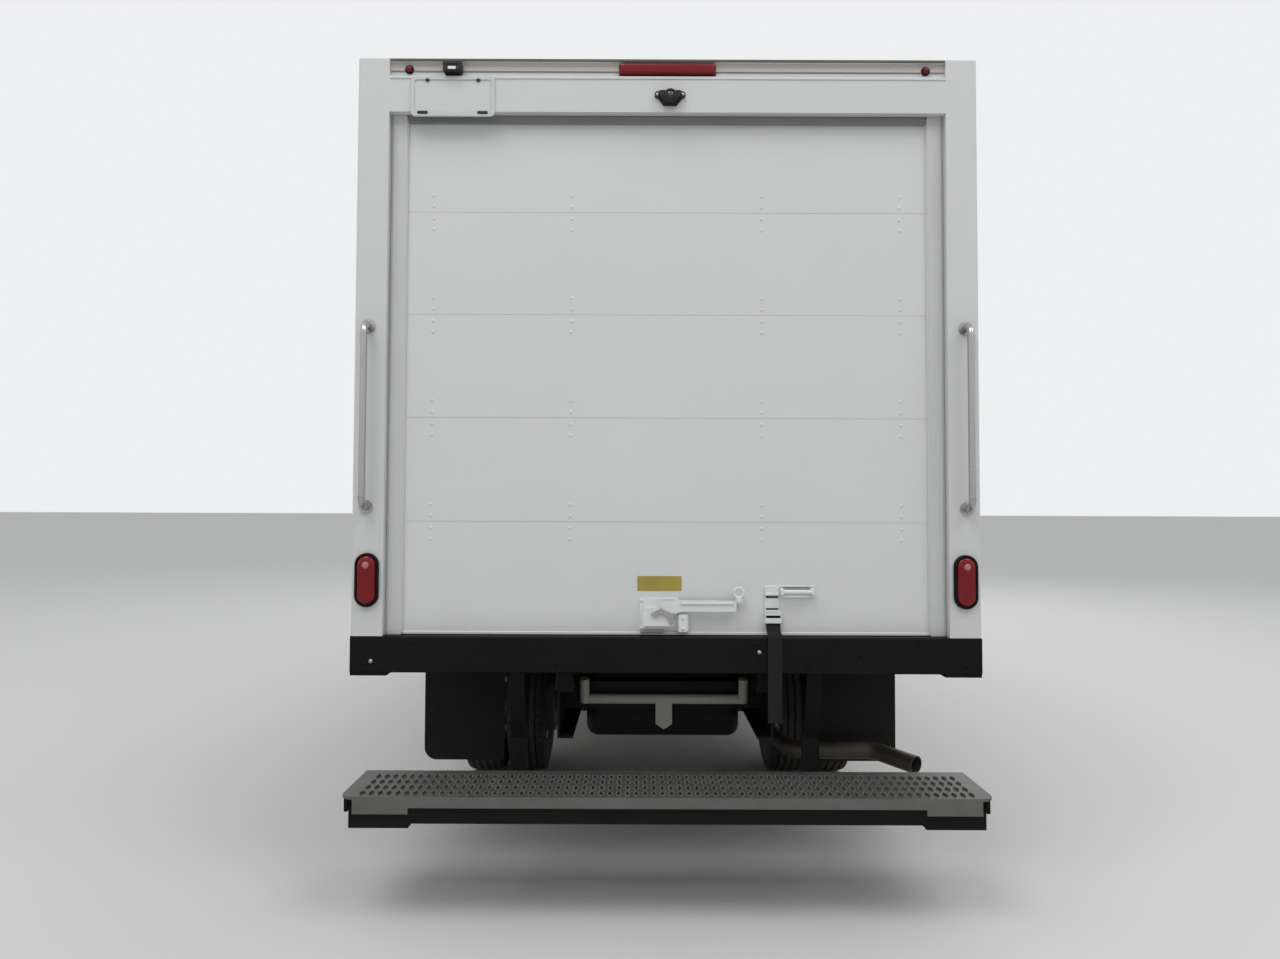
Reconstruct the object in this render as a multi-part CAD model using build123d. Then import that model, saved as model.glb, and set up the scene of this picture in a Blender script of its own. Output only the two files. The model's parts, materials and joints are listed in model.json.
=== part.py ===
from build123d import *
import math
import os

os.makedirs("parts", exist_ok=True)

# Box truck with a low cab set over the front axle and twin rear wheels.
# Millimetres. +Y is forward, +X is the truck's right, +Z is up.
# The origin is on the ground, under the middle of the truck.

# Lengths from back to front
step_reach = 230
body_length = 4877
cab_gap = 113
cab_length = 1675
bumper_reach = 85
rear_overhang = 1830
front_overhang = 1110
overall_length = step_reach + body_length + cab_gap + cab_length + bumper_reach
front_y = overall_length / 2
rear_y = -front_y
sill_y = rear_y + step_reach
body_front_y = sill_y + body_length
cab_back_y = body_front_y + cab_gap
nose_y = front_y - bumper_reach
rear_axle_y = sill_y + rear_overhang
front_axle_y = front_y - front_overhang
wheelbase = front_axle_y - rear_axle_y

# Load body
body_width = 2438
deck_z = 1010
roof_z = 3276
wall = 40
roof_thick = 40
deck_thick = 30
cross_sill_height = 80
cross_sill_width = 50
cross_sill_count = 13
sill_height = 140
sill_depth = 90
sill_pad_width = 140
sill_pad_drop = 12
rub_rail_height = 82
panel_recess = 4
panel_border = 60
half_body = body_width / 2
floor_bottom_z = deck_z - deck_thick - cross_sill_height
sill_bottom_z = deck_z - sill_height

# Rear frame and roll-up door
post_width = 124
header_height = 212
header_depth = 34
strip_drop = 68
strip_height = 57
strip_depth = 14
door_thick = 20
door_inset = 52
door_bottom_gap = 11
door_count = 5
door_seam_start = 32
door_top_lap = 25
groove_width = 5
groove_depth = 4
track_width = 62
track_band = 52
track_slot = 26
track_bend = 110
track_run = body_length * 0.42
track_drop = 60
half_opening = half_body - post_width
header_bottom_z = roof_z - header_height
strip_bottom_z = roof_z - strip_drop
strip_middle_z = strip_bottom_z + strip_height / 2
door_pitch = (header_bottom_z + door_top_lap - deck_z - door_seam_start) / door_count
door_face_y = sill_y + door_inset
door_mid_y = door_face_y + door_thick / 2
half_door = half_opening - track_width + 20
track_z = roof_z - roof_thick - track_drop

# Fittings on the rear frame
grab_inset = 55
grab_low = 498
grab_high = 1202
grab_stand = 62
grab_radius = 14
lamp_inset = 63
lamp_height = 216
strap_x = 419
strap_width = 58
strap_thick = 5
strap_drop = 328

# Chassis frame
rail_half = 425
rail_height = 190
rail_flange = 62
rail_thick = 8
rail_top_z = 790
rail_bottom_z = rail_top_z - rail_height
rail_front_y = front_y - 200
rail_rear_y = sill_y + sill_depth
cross_member_length = 70
cross_member_inset = 12
cross_member_depth = rail_height * 0.65
shaft_support_y = rear_axle_y + wheelbase * 0.41

# Wheels and tyres
tyre_radius = 386
tyre_width = 216
tread_width = 186
rim_radius = 203
rim_half = 86
rim_wall = 9
rim_lip = 15
disc_offset = 113
disc_thick = 12
disc_flat_radius = 140
disc_bore = 82
disc_depth = 60
hand_hole_radius = 25
hand_hole_count = 6
front_wheel_x = 832
dual_middle_x = 847
dual_spacing = 240
hub_radius = 72
hub_bore = 34
running_gap = 0.3

# Drive line
axle_nose = 330
nose_rise = 40
axle_tube_radius = 60
banjo_radius = 185
drum_radius = 168
gearbox_tail = 960
gearbox_z = 600
shaft_radius = 38
flange_radius = 62
flange_thick = 26

# Front axle and steering
kingpin_x = 705
kingpin_radius = 16
beam_z = 330
beam_height = 74
beam_width = 60
beam_eye = 38
arm_length = 180
arm_z = 262
arm_pin_radius = 9

# Springs
spring_width = 70
leaf_thick = 11
leaf_count = 5
spring_x = 388
front_spring_half = 600
rear_spring_half = 650
front_spring_rise = 90
rear_spring_rise = 55
spring_seat = 16

# Tank and exhaust
tank_half = 330
tank_bottom_z = 520
tank_top_z = 850
exhaust_x = 560
exhaust_z = 560
can_radius = 110
tail_radius = 41
tail_bore = 37
tail_z = 362

# Flaps and tie bar under the back
flap_y = sill_y + 950
flap_inner = 459
flap_outer = 69
flap_bottom_z = 280
flap_thick = 8
bar_y = sill_y + 300
bar_half = 330
bar_radius = 20
bar_standoff = 35

# Cab
cab_width = 2040
cab_floor_z = 880
cab_belt_z = 1320
cab_roof_z = 2255
cab_wall = 60
cab_corner = 130
roof_side_inset = 95
wind_lean = 255
door_setback = 145
door_length = 960
door_lean = 225
shut_gap = 8
hinge_out = 4
hinge_radius = 8
glass_inset = 10
glass_thick = 6
half_cab = cab_width / 2
roof_half = half_cab - roof_side_inset
wind_base_z = cab_belt_z - 20
wind_top_z = cab_roof_z - 135
nose_bottom_z = cab_floor_z - 190
door_front_y = nose_y - door_setback
door_rear_y = door_front_y - door_length
door_sill_z = cab_floor_z + 26
door_head_z = cab_roof_z - 120
roof_split_z = cab_roof_z - 90
cab_reach = half_cab + 100

# Under and in the cab
tilt_y = nose_y - 95
tilt_z = 650
tilt_pin_radius = 15
tilt_arm_x = 470
arch_radius = 500
arch_thick = 14
arch_inner_x = 640
step_z = 470
bumper_top_z = 600
bumper_height = 180
bumper_thick = 55
driver_x = -430
wheel_z = cab_floor_z + 402
mirror_out = 220

# Rear step with four rows of diamond holes
step_top_z = 470
step_depth = 330
step_width = 2350
step_corner = 45
step_lip = 40
tread_thick = 10
hole_pitch = 32
hole_row_pitch = 68
hole_rows = 4
hole_width = 19
hole_length = 56
hole_first_row = 42
step_channel = 58
step_block_width = 215
step_block_inset = 30
step_block_drop = 22
hanger_x = 580
hanger_width = 58


def block(x0, x1, y0, y1, z0, z1):
    centre = Pos((x0 + x1) / 2, (y0 + y1) / 2, (z0 + z1) / 2)
    return centre * Box(x1 - x0, y1 - y0, z1 - z0)


def other_side(shape):
    return mirror(shape, Plane.YZ)


def both_sides(shape):
    return Compound([shape, other_side(shape)])


def rod(start, end, radius):
    line = Vector(*end) - Vector(*start)
    plane = Plane(origin=start, z_dir=line)
    return extrude(plane * Circle(radius), line.length)


def side_prism(points, x0, x1, corner=0):
    face = make_face(Polyline(*points, close=True))
    if corner:
        face = fillet(face.vertices(), corner)
    plane = Plane(origin=(x0, 0, 0), x_dir=(0, 1, 0), z_dir=(1, 0, 0))
    return extrude(plane * face, x1 - x0)


def end_prism(points, y0, y1, corner=0):
    face = make_face(Polyline(*points, close=True))
    if corner:
        face = fillet(face.vertices(), corner)
    plane = Plane(origin=(0, y1, 0), x_dir=(1, 0, 0), z_dir=(0, -1, 0))
    return extrude(plane * face, y1 - y0)


def turned(points, x, y, z):
    # A profile of distance along the axle and radius, turned about an axle along X
    face = make_face(Polyline(*points, close=True))
    return Pos(x, y, z) * revolve(Plane.XY * face, Axis.X)


def pipe(points, radius, bend):
    path = FilletPolyline(*points, radius=bend)
    start = Plane(origin=path @ 0, z_dir=path % 0)
    return sweep(start * Circle(radius), path=path)


def save(name, *shapes):
    shape = shapes[0] if len(shapes) == 1 else Compound(list(shapes))
    export_step(shape, f"parts/{name}.step")


# Chassis rails with their cross members
def chassis_rails():
    half, inner = rail_half, rail_half - rail_flange
    section = [(half, rail_bottom_z), (half, rail_top_z), (inner, rail_top_z),
               (inner, rail_top_z - rail_thick), (half - rail_thick, rail_top_z - rail_thick),
               (half - rail_thick, rail_bottom_z + rail_thick), (inner, rail_bottom_z + rail_thick),
               (inner, rail_bottom_z)]
    rail = end_prism(section, rail_rear_y, rail_front_y)
    frame = rail + other_side(rail)
    places = [bar_y + bar_standoff, rear_axle_y - 510, rear_axle_y + 480, shaft_support_y - 35,
              rear_axle_y + wheelbase * 0.68, rail_front_y - 110]
    for place in places:
        frame += block(-half, half, place, place + cross_member_length,
                       rail_top_z - cross_member_depth, rail_top_z - cross_member_inset)
    # Plates at the front ends hold the cab's tilt pins
    for side in (-1, 1):
        x0, x1 = sorted((side * (half - rail_thick), side * (tilt_arm_x - 24)))
        frame += block(x0, x1, rail_front_y - 60, tilt_y + 26, tilt_z - 32, tilt_z + 32)
        pin_end = side * (tilt_arm_x + 18)
        frame += rod((side * half, tilt_y, tilt_z), (pin_end, tilt_y, tilt_z), tilt_pin_radius)
    return frame


# Black steel sill across the back
def rear_sill():
    sill = block(-half_body, half_body, sill_y, sill_y + sill_depth, sill_bottom_z, deck_z)
    sill = chamfer(sill.edges().filter_by(Axis.X).group_by(Axis.Y)[0], 5)
    for side in (-1, 1):
        x0, x1 = sorted((side * (half_body - sill_pad_width), side * half_body))
        sill += block(x0, x1, sill_y + 5, sill_y + sill_depth, sill_bottom_z - sill_pad_drop, sill_bottom_z)
    return sill


def van_floor():
    half = half_body - wall
    return block(-half, half, sill_y + sill_depth, body_front_y - wall, deck_z - deck_thick, deck_z)


# Cross sills under the deck and two long sills on the chassis rails
def cross_sills():
    start, end = sill_y + sill_depth, body_front_y - wall
    half = half_body - wall
    pitch = (end - start - cross_sill_width) / (cross_sill_count - 1)
    places = [start + index * pitch for index in range(cross_sill_count)]
    return [block(-half, half, place, place + cross_sill_width, floor_bottom_z, deck_z - deck_thick)
            for place in places]


def long_sill():
    return block(rail_half - rail_flange, rail_half, sill_y + sill_depth, body_front_y - wall,
                 rail_top_z, floor_bottom_z)


# Side wall: a panel sunk between a rub rail, a top rail and end posts
def van_wall():
    start = sill_y + sill_depth
    panel = block(half_body - wall, half_body, start, body_front_y, floor_bottom_z, roof_z - roof_thick)
    panel = fillet(panel.edges().filter_by(Axis.Z).group_by(Axis.Y)[-1].sort_by(Axis.X)[-1], wall - 5)
    panel -= block(half_body - panel_recess, half_body, start + panel_border, body_front_y - panel_border,
                   floor_bottom_z + rub_rail_height, roof_z - roof_thick - panel_border)
    return panel


def van_front_wall():
    return block(-half_body + wall, half_body - wall, body_front_y - wall, body_front_y,
                 floor_bottom_z, roof_z - roof_thick)


def van_roof():
    roof = block(-half_body, half_body, sill_y + sill_depth, body_front_y, roof_z - roof_thick, roof_z)
    return fillet(roof.edges().filter_by(Axis.Y).group_by(Axis.Z)[-1], roof_thick * 0.7)


# White posts and header round the door, with a sunk strip for the top lamps
def rear_door_frame():
    back, front = sill_y, sill_y + sill_depth
    frame = block(-half_body, half_body, back, front, deck_z, roof_z)
    frame -= block(-half_opening, half_opening, back, front, deck_z, header_bottom_z)
    frame -= block(-half_opening, half_opening, back + header_depth, front, deck_z, roof_z - roof_thick)
    frame -= block(-half_opening, half_opening, back, back + strip_depth,
                   strip_bottom_z, strip_bottom_z + strip_height)
    for corner in (0, -1):
        frame = fillet(frame.edges().filter_by(Axis.Z).group_by(Axis.Y)[0].sort_by(Axis.X)[corner], 12)
    return frame


def roll_up_door():
    bottom, top = deck_z + door_bottom_gap, header_bottom_z + door_top_lap
    door = block(-half_door, half_door, door_face_y, door_face_y + door_thick, bottom, top)
    for index in range(1, door_count):
        seam = deck_z + door_seam_start + index * door_pitch
        door -= block(-half_door, half_door, door_face_y, door_face_y + groove_depth,
                      seam - groove_width / 2, seam + groove_width / 2)
    return door


# Door tracks rise beside the door and turn forward under the roof
def door_track():
    x0, x1 = half_opening - track_width, half_opening
    path = FilletPolyline((door_mid_y, deck_z + 2), (door_mid_y, track_z),
                          (door_mid_y + track_run, track_z), radius=track_bend)
    plane = Plane(origin=(x0, 0, 0), x_dir=(0, 1, 0), z_dir=(1, 0, 0))
    track = extrude(plane * trace(path, track_band), x1 - x0)
    return track - extrude(plane * trace(path, track_slot), half_door + 4 - x0)


# Lock, strap plate and lift handle on the face of the door
def door_hardware():
    face = door_face_y
    # Across from, across to, stands off from, stands off to, above the deck from and to
    lock_table = [(-104, 50, 0, 14, 20, 146), (-60, 30, 14, 44, 60, 130), (10, 274, 12, 34, 96, 136),
                  (262, 292, 8, 30, 120, 169), (46, 88, 0, 30, 20, 86)]
    lock = None
    for x0, x1, near, far, low, high in lock_table:
        piece = block(x0, x1, face - far, face - near, deck_z + low, deck_z + high)
        lock = piece if lock is None else lock + piece
    knob_z = deck_z + 169
    lock += rod((282, face, knob_z), (282, face - 40, knob_z), 24)
    plate = block(strap_x - 33, strap_x + 25, face - 12, face, deck_z + 73, deck_z + 196)
    bar_z = deck_z + 173
    handle = rod((460, face - 34, bar_z), (562, face - 34, bar_z), 13)
    for foot_x in (452, 570):
        handle += block(foot_x - 15, foot_x + 15, face - 47, face, bar_z - 22, bar_z + 22)
    return lock, plate, handle


# Webbing from the strap plate over the sill, hanging behind it
def pull_strap():
    x0, x1 = strap_x - strap_width / 2, strap_x + strap_width / 2
    hang, plate = sill_y - 8, door_face_y - 12
    top = deck_z + 30
    strap = block(x0, x1, hang, hang + strap_thick, deck_z - strap_drop, top)
    strap += block(x0, x1, hang, plate, top - strap_thick, top)
    strap += block(x0, x1, plate - strap_thick, plate, top - strap_thick, deck_z + 145)
    return strap


def grab_handle():
    x, low, high = half_body - grab_inset, deck_z + grab_low, deck_z + grab_high
    out = sill_y - grab_stand
    bar = pipe([(x, sill_y, low), (x, out, low), (x, out, high), (x, sill_y, high)], grab_radius, 40)
    for z in (low, high):
        bar += rod((x, sill_y, z), (x, sill_y - 6, z), grab_radius + 13)
    return bar


def tail_lamp():
    half_wide, half_tall, depth, border = 46, 104, 16, 18
    centre = (half_body - lamp_inset, sill_y, deck_z + lamp_height)
    plane = Plane(origin=centre, x_dir=(1, 0, 0), z_dir=(0, -1, 0))
    grommet = extrude(plane * SlotOverall(2 * half_tall, 2 * half_wide, rotation=90), depth)
    lens_shape = SlotOverall(2 * (half_tall - border), 2 * (half_wide - border), rotation=90)
    lens = extrude(plane * lens_shape, depth + 8)
    return grommet + fillet(lens.edges().group_by(Axis.Y)[0], 6)


def top_lamps():
    back, z = sill_y + strip_depth, strip_middle_z
    bar = block(-189, 189, back - 26, back, z - 22, z + 22)
    bar = fillet(bar.edges().filter_by(Axis.Z).group_by(Axis.Y)[0], 8)
    marker_x = half_opening - 75
    markers = both_sides(rod((marker_x, back, z), (marker_x, back - 20, z), 17))
    plate_x = half_opening - 215
    plate_lamp = block(-plate_x, -plate_x + 72, back - 46, back, z - 24, z + 20)
    return bar, markers, plate_lamp


# Camera pod under the brake lamp and a blank plate holder
def header_fittings():
    top, pod_half, pod_x = roof_z - 131, 60, 10
    camera = end_prism([(-pod_half, top), (pod_half, top), (pod_half, top - 15), (28, top - 57),
                        (-28, top - 57), (-pod_half, top - 15)], sill_y - 30, sill_y, 5)
    camera += rod((0, sill_y - 30, top - 27), (0, sill_y - 58, top - 33), 22)
    x0, low, wide, tall, border = -half_body + 209, roof_z - 233, 331, 160, 20
    holder = block(x0, x0 + wide, sill_y - 8, sill_y, low, low + tall)
    holder -= block(x0 + border, x0 + wide - border, sill_y - 8, sill_y - 4,
                    low + border, low + tall - border)
    return Pos(pod_x, 0, 0) * camera, holder


# Tread plank with diamond holes, rounded outer corners and a lip
def step_tread():
    half, top = step_width / 2, step_top_z
    outline = make_face(Polyline((-half, rear_y), (half, rear_y), (half, rear_y + step_depth),
                                 (-half, rear_y + step_depth), close=True))
    outline = fillet(outline.vertices().group_by(Axis.Y)[0], step_corner)
    diamond = make_face(Polyline((-hole_width / 2, 0), (0, -hole_length / 2), (hole_width / 2, 0),
                                 (0, hole_length / 2), close=True))
    columns = 2 * int((half - step_corner * 0.6) / hole_pitch)
    places = [((column - (columns - 1) / 2) * hole_pitch, rear_y + hole_first_row + row * hole_row_pitch)
              for column in range(columns) for row in range(hole_rows)]
    holes = [Pos(x, y) * diamond for x, y in places]
    plank = extrude(Pos(0, 0, top - tread_thick) * (outline - holes), tread_thick)
    lip = block(-half + step_corner, half - step_corner, rear_y, rear_y + tread_thick,
                top - step_lip, top)
    for side in (-1, 1):
        inner = half - step_block_inset - step_block_width
        x0, x1 = sorted((side * inner, side * (half - step_corner)))
        lip += block(x0, x1, rear_y, rear_y + tread_thick,
                     top - step_lip - step_block_drop, top - step_lip)
    return plank + lip


# Channels and arms that carry the tread, with a deeper block at each end
def step_frame():
    half, top = step_width / 2, step_top_z - tread_thick
    outer, inner = rear_y + tread_thick, rear_y + step_depth
    low = step_top_z - step_lip - step_channel
    frame = block(-half + step_corner, half - step_corner, outer, outer + 16, low, top)
    frame += block(-half + 12, half - 12, inner - 60, inner, top - step_channel, top)
    for side in (-1, 1):
        block_end = half - step_block_inset
        x0, x1 = sorted((side * (block_end - step_block_width), side * block_end))
        frame += block(x0, x1, outer, outer + 90, low - 16, step_top_z - step_lip - 2)
        x0, x1 = sorted((side * (half - 14), side * (half - 2)))
        frame += block(x0, x1, rear_y + step_corner, inner, top - step_channel, top)
        x0, x1 = sorted((side * (hanger_x - hanger_width / 2), side * (hanger_x + hanger_width / 2)))
        frame += block(x0, x1, outer + 16, inner - 60, top - step_channel, top - 8)
    return frame


def step_hanger():
    inner, low = rear_y + step_depth, step_top_z - tread_thick - step_channel
    outline = [(inner, low), (inner + 70, low), (inner + 70, sill_bottom_z), (inner - 60, sill_bottom_z),
               (inner, low + step_channel + 140)]
    return side_prism(outline, hanger_x - hanger_width / 2, hanger_x + hanger_width / 2)


def mud_flap():
    inner, outer = half_body - flap_inner, half_body - flap_outer
    flap = block(inner, outer, flap_y, flap_y + flap_thick, flap_bottom_z, floor_bottom_z)
    return fillet(flap.edges().filter_by(Axis.Y).group_by(Axis.Z)[0].sort_by(Axis.X)[-1], 60)


# Pale bar with turned-up ends and a centre post, on two lugs behind the last cross member
def cross_bar():
    z = rail_top_z - 78
    bar = rod((-bar_half, bar_y, z), (bar_half, bar_y, z), bar_radius)
    for side in (-1, 1):
        bar += rod((side * bar_half, bar_y, z - 12), (side * bar_half, bar_y - 22, z + 88), bar_radius)
        x0, x1 = sorted((side * bar_half * 0.5, side * bar_half * 0.62))
        bar += block(x0, x1, bar_y, bar_y + bar_standoff, z - 12, z + 12)
    post = [(-34, z), (34, z), (34, z - 100), (0, z - 122), (-34, z - 100)]
    return bar + end_prism(post, bar_y - 18, bar_y + 18)


# Tank between the rails, held by two brackets on each side
def fuel_tank():
    start, end = rear_axle_y - 1400, rear_axle_y - 560
    tank = fillet(block(-tank_half, tank_half, start, end, tank_bottom_z, tank_top_z).edges(), 50)
    for y in (start + 150, end - 200):
        for side in (-1, 1):
            x0, x1 = sorted((side * (tank_half - 4), side * (rail_half - rail_thick)))
            tank += block(x0, x1, y, y + 50, rail_bottom_z + 60, rail_bottom_z + 100)
    return tank


# Silencer beside the rail, then a tail over the axle and out behind the right flap
def exhaust():
    x, z, y = exhaust_x, exhaust_z, rear_axle_y
    can = rod((x, y + 560, z), (x, y + wheelbase * 0.34, z), can_radius)
    front = pipe([(x, y + wheelbase * 0.335, z), (x, y + wheelbase * 0.44, z), (250, y + wheelbase * 0.5, z),
                  (250, y + wheelbase * 0.66, z + 40)], 30, 60)
    run_y, out_x = flap_y - 110, half_body - 205
    path = [(x, y + 570, z), (x, y + 380, z), (x - 35, y + 220, z + 140), (x - 35, y - 240, z + 140),
            (x + 15, y - 700, tail_z), (x + 70, run_y, tail_z), (out_x, run_y, tail_z),
            (out_x + 145, run_y - 190, tail_z - 17)]
    tail = pipe(path, tail_radius, 75)
    end, before = Vector(*path[-1]), Vector(*path[-2])
    return can + front + tail - rod(tuple(end + (before - end) * 0.4), tuple(end), tail_bore)


# Banjo axle with its drums, tube ends and long nose
def rear_axle():
    y, z = rear_axle_y, tyre_radius
    end_x = dual_middle_x + dual_spacing / 2 + 20
    drum_out, drum_in = dual_middle_x - 150, dual_middle_x - 260
    axle = rod((-end_x, y, z), (end_x, y, z), hub_bore - running_gap)
    axle += rod((-drum_out, y, z), (drum_out, y, z), axle_tube_radius)
    axle += Pos(0, y, z) * Sphere(banjo_radius)
    axle += rod((0, y, z + nose_rise), (0, y + axle_nose, z + nose_rise), flange_radius + 10)
    for side in (-1, 1):
        axle += rod((side * drum_in, y, z), (side * drum_out, y, z), drum_radius)
        axle += block(side * spring_x - 45, side * spring_x + 45, y - 80, y + 80,
                      z + 40, z + axle_tube_radius + spring_seat)
    return axle


def driveshaft():
    start = (0, rear_axle_y + axle_nose + flange_thick, tyre_radius + nose_rise)
    middle = (0, shaft_support_y, (tyre_radius + nose_rise + gearbox_z) / 2)
    end = (0, front_axle_y - gearbox_tail - flange_thick, gearbox_z)
    shaft = rod(start, middle, shaft_radius) + rod(middle, end, shaft_radius)
    shaft += Pos(*middle) * Sphere(flange_radius)
    shaft += rod((0, start[1] - flange_thick, start[2]), start, flange_radius)
    shaft += rod(end, (0, end[1] + flange_thick, end[2]), flange_radius)
    hanger = block(-60, 60, middle[1] - 25, middle[1] + 25, middle[2], rail_top_z - cross_member_depth)
    return shaft + hanger


# A stack of bowed leaves with eyes, hangers and a clamp
def leaf_spring(axle_y, half_length, seat_z, spring_rise):
    x0, x1 = spring_x - spring_width / 2, spring_x + spring_width / 2
    plane = Plane(origin=(x0, 0, 0), x_dir=(0, 1, 0), z_dir=(1, 0, 0))
    pack = None
    for index in range(leaf_count):
        reach = half_length * (1 - 0.17 * index)
        rise = spring_rise * (reach / half_length) ** 2
        base = seat_z + (leaf_count - 1 - index) * leaf_thick
        top = base + leaf_thick
        lower = ThreePointArc((axle_y - reach, base + rise), (axle_y, base), (axle_y + reach, base + rise))
        upper = ThreePointArc((axle_y + reach, top + rise), (axle_y, top), (axle_y - reach, top + rise))
        ends = [Line(lower @ 1, upper @ 0), Line(upper @ 1, lower @ 0)]
        leaf = extrude(plane * make_face([lower, ends[0], upper, ends[1]]), x1 - x0)
        pack = leaf if pack is None else pack + leaf
    eye_z = seat_z + (leaf_count - 0.5) * leaf_thick + spring_rise
    for side in (-1, 1):
        eye_y = axle_y + side * half_length
        pack += rod((x0, eye_y, eye_z), (x1, eye_y, eye_z), 22)
        pack += block(x0 + 6, x1 - 6, eye_y - 30, eye_y + 30, eye_z, rail_bottom_z)
    clamp_top = seat_z + leaf_count * leaf_thick + 14
    return pack + block(x0 - 8, x1 + 8, axle_y - 60, axle_y + 60, seat_z, clamp_top)


# Forged beam, dropped in the middle, with an eye at each kingpin
def front_axle():
    y, z, eye_z = front_axle_y, beam_z, tyre_radius
    half, neck_x, low_x = beam_width / 2, kingpin_x - 60, kingpin_x - 150
    right = [(low_x, z - beam_height / 2), (neck_x, eye_z - beam_eye), (kingpin_x, eye_z - beam_eye),
             (kingpin_x, eye_z + beam_eye), (neck_x, eye_z + beam_eye), (low_x - 60, z + beam_height / 2)]
    outline = right + [(-along, up) for along, up in reversed(right)]
    beam = end_prism(outline, y - half, y + half)
    for side in (-1, 1):
        x = side * kingpin_x
        beam += rod((x, y, eye_z - beam_eye), (x, y, eye_z + beam_eye), 34)
        beam += rod((x, y, eye_z - 92), (x, y, eye_z + 92), kingpin_radius)
        beam += block(side * spring_x - 45, side * spring_x + 45, y - 70, y + 70, z + 10, z + 66)
    return beam


# Plain block for the engine and gearbox, with the radiator ahead of it
def engine():
    y, web = front_axle_y, rail_half - rail_thick
    motor = block(-250, 250, y - 250, y + 560, 440, 850)
    gearbox = block(-150, 150, y - gearbox_tail + 60, y - 250, 470, 760)
    tail = rod((0, y - gearbox_tail + 60, gearbox_z), (0, y - gearbox_tail, gearbox_z), flange_radius)
    radiator = block(-330, 330, y + 660, y + 730, 560, 860)
    hose = rod((0, y + 560, 700), (0, y + 660, 700), 30)
    mounts = block(-web, web, y + 60, y + 130, rail_bottom_z + 20, rail_bottom_z + 60)
    return motor + gearbox + tail + radiator + hose + mounts


def battery_box():
    y = front_axle_y - 1480
    case = block(-rail_half - 330, -rail_half, y, y + 430, rail_bottom_z - 100, rail_top_z - 10)
    return fillet(case.edges().filter_by(Axis.Z), 20)


def nose_plan(inset, front, back, corner):
    half = half_cab - inset
    face = make_face(Polyline((-half, back), (half, back), (half, front), (-half, front), close=True))
    return fillet(face.vertices().group_by(Axis.Y)[-1], corner)


# Bumper swept round the nose in plan
def front_bumper():
    low, back = bumper_top_z - bumper_height, front_y - 330
    outer = nose_plan(20, front_y, back, cab_corner + 20)
    inner = nose_plan(20 + bumper_thick, front_y - bumper_thick, back, cab_corner + 20 - bumper_thick)
    band = extrude(Pos(0, 0, low) * (outer - inner), bumper_height)
    band -= block(-half_cab, half_cab, back - 10, door_front_y + 30, low, bumper_top_z)
    for side in (-1, 1):
        x0, x1 = sorted((side * (rail_half - 60), side * rail_half))
        band += block(x0, x1, rail_front_y - 100, front_y - bumper_thick, low + 20, rail_bottom_z)
    return band


# Wheels: a disc wheel dished towards one side, hub, and tyre
def rim(x, dish):
    barrel = [(-rim_half, rim_radius - rim_wall), (rim_half, rim_radius - rim_wall),
              (rim_half, rim_radius + rim_lip), (rim_half - 8, rim_radius + rim_lip),
              (rim_half - 8, rim_radius), (-rim_half + 8, rim_radius),
              (-rim_half + 8, rim_radius + rim_lip), (-rim_half, rim_radius + rim_lip)]
    face, root = disc_offset - disc_thick, rim_radius - rim_wall + 1
    disc = [(face - disc_depth, root), (face - disc_depth, rim_radius - 30), (face, disc_flat_radius),
            (face, disc_bore), (face + disc_thick, disc_bore), (face + disc_thick, disc_flat_radius + 6),
            (face - disc_depth + disc_thick, rim_radius - 20), (face - disc_depth + disc_thick, root)]
    wheel = turned([(dish * along, radius) for along, radius in barrel], x, 0, 0)
    wheel += turned([(dish * along, radius) for along, radius in disc], x, 0, 0)
    ring_radius = (disc_flat_radius + rim_radius) / 2 - 6
    for index in range(hand_hole_count):
        angle = 2 * math.pi * index / hand_hole_count
        y, z = ring_radius * math.cos(angle), ring_radius * math.sin(angle)
        wheel -= rod((x, y, z), (x + dish * (disc_offset + 40), y, z), hand_hole_radius)
    return wheel


def hub(x0, x1, cap_x):
    profile = [(x0, hub_bore), (x0, hub_radius + 14), (x0 + (x1 - x0) * 0.3, hub_radius), (x1, hub_radius),
               (cap_x, hub_radius - 16), (cap_x, 0), (x1, 0), (x1, hub_bore)]
    flange = [(x1 - 4, hub_radius - 2), (x1 - 4, disc_bore + 42), (x1 + 4, disc_bore + 42),
              (x1 + 4, hub_radius - 2)]
    return turned(profile, 0, 0, 0) + turned(flange, 0, 0, 0)


def tyre(x):
    side, crown, bead = tyre_width / 2, tread_width / 2, rim_half - 8
    wide_radius, shoulder_radius = tyre_radius - 86, tyre_radius - 41
    profile = [(-bead, rim_radius), (-bead, rim_radius + rim_lip), (-side, wide_radius),
               (-side + 6, shoulder_radius), (-crown, tyre_radius - 8), (-crown + 22, tyre_radius),
               (crown - 22, tyre_radius), (crown, tyre_radius - 8), (side - 6, shoulder_radius),
               (side, wide_radius), (bead, rim_radius + rim_lip), (bead, rim_radius)]
    return turned(profile, x, 0, 0)


def front_wheel():
    face = front_wheel_x + disc_offset - disc_thick
    place = Pos(0, front_axle_y, tyre_radius)
    body = hub(kingpin_x + 82, face - 4, face + 46)
    return place * tyre(front_wheel_x), place * (rim(front_wheel_x, 1) + body)


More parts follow.
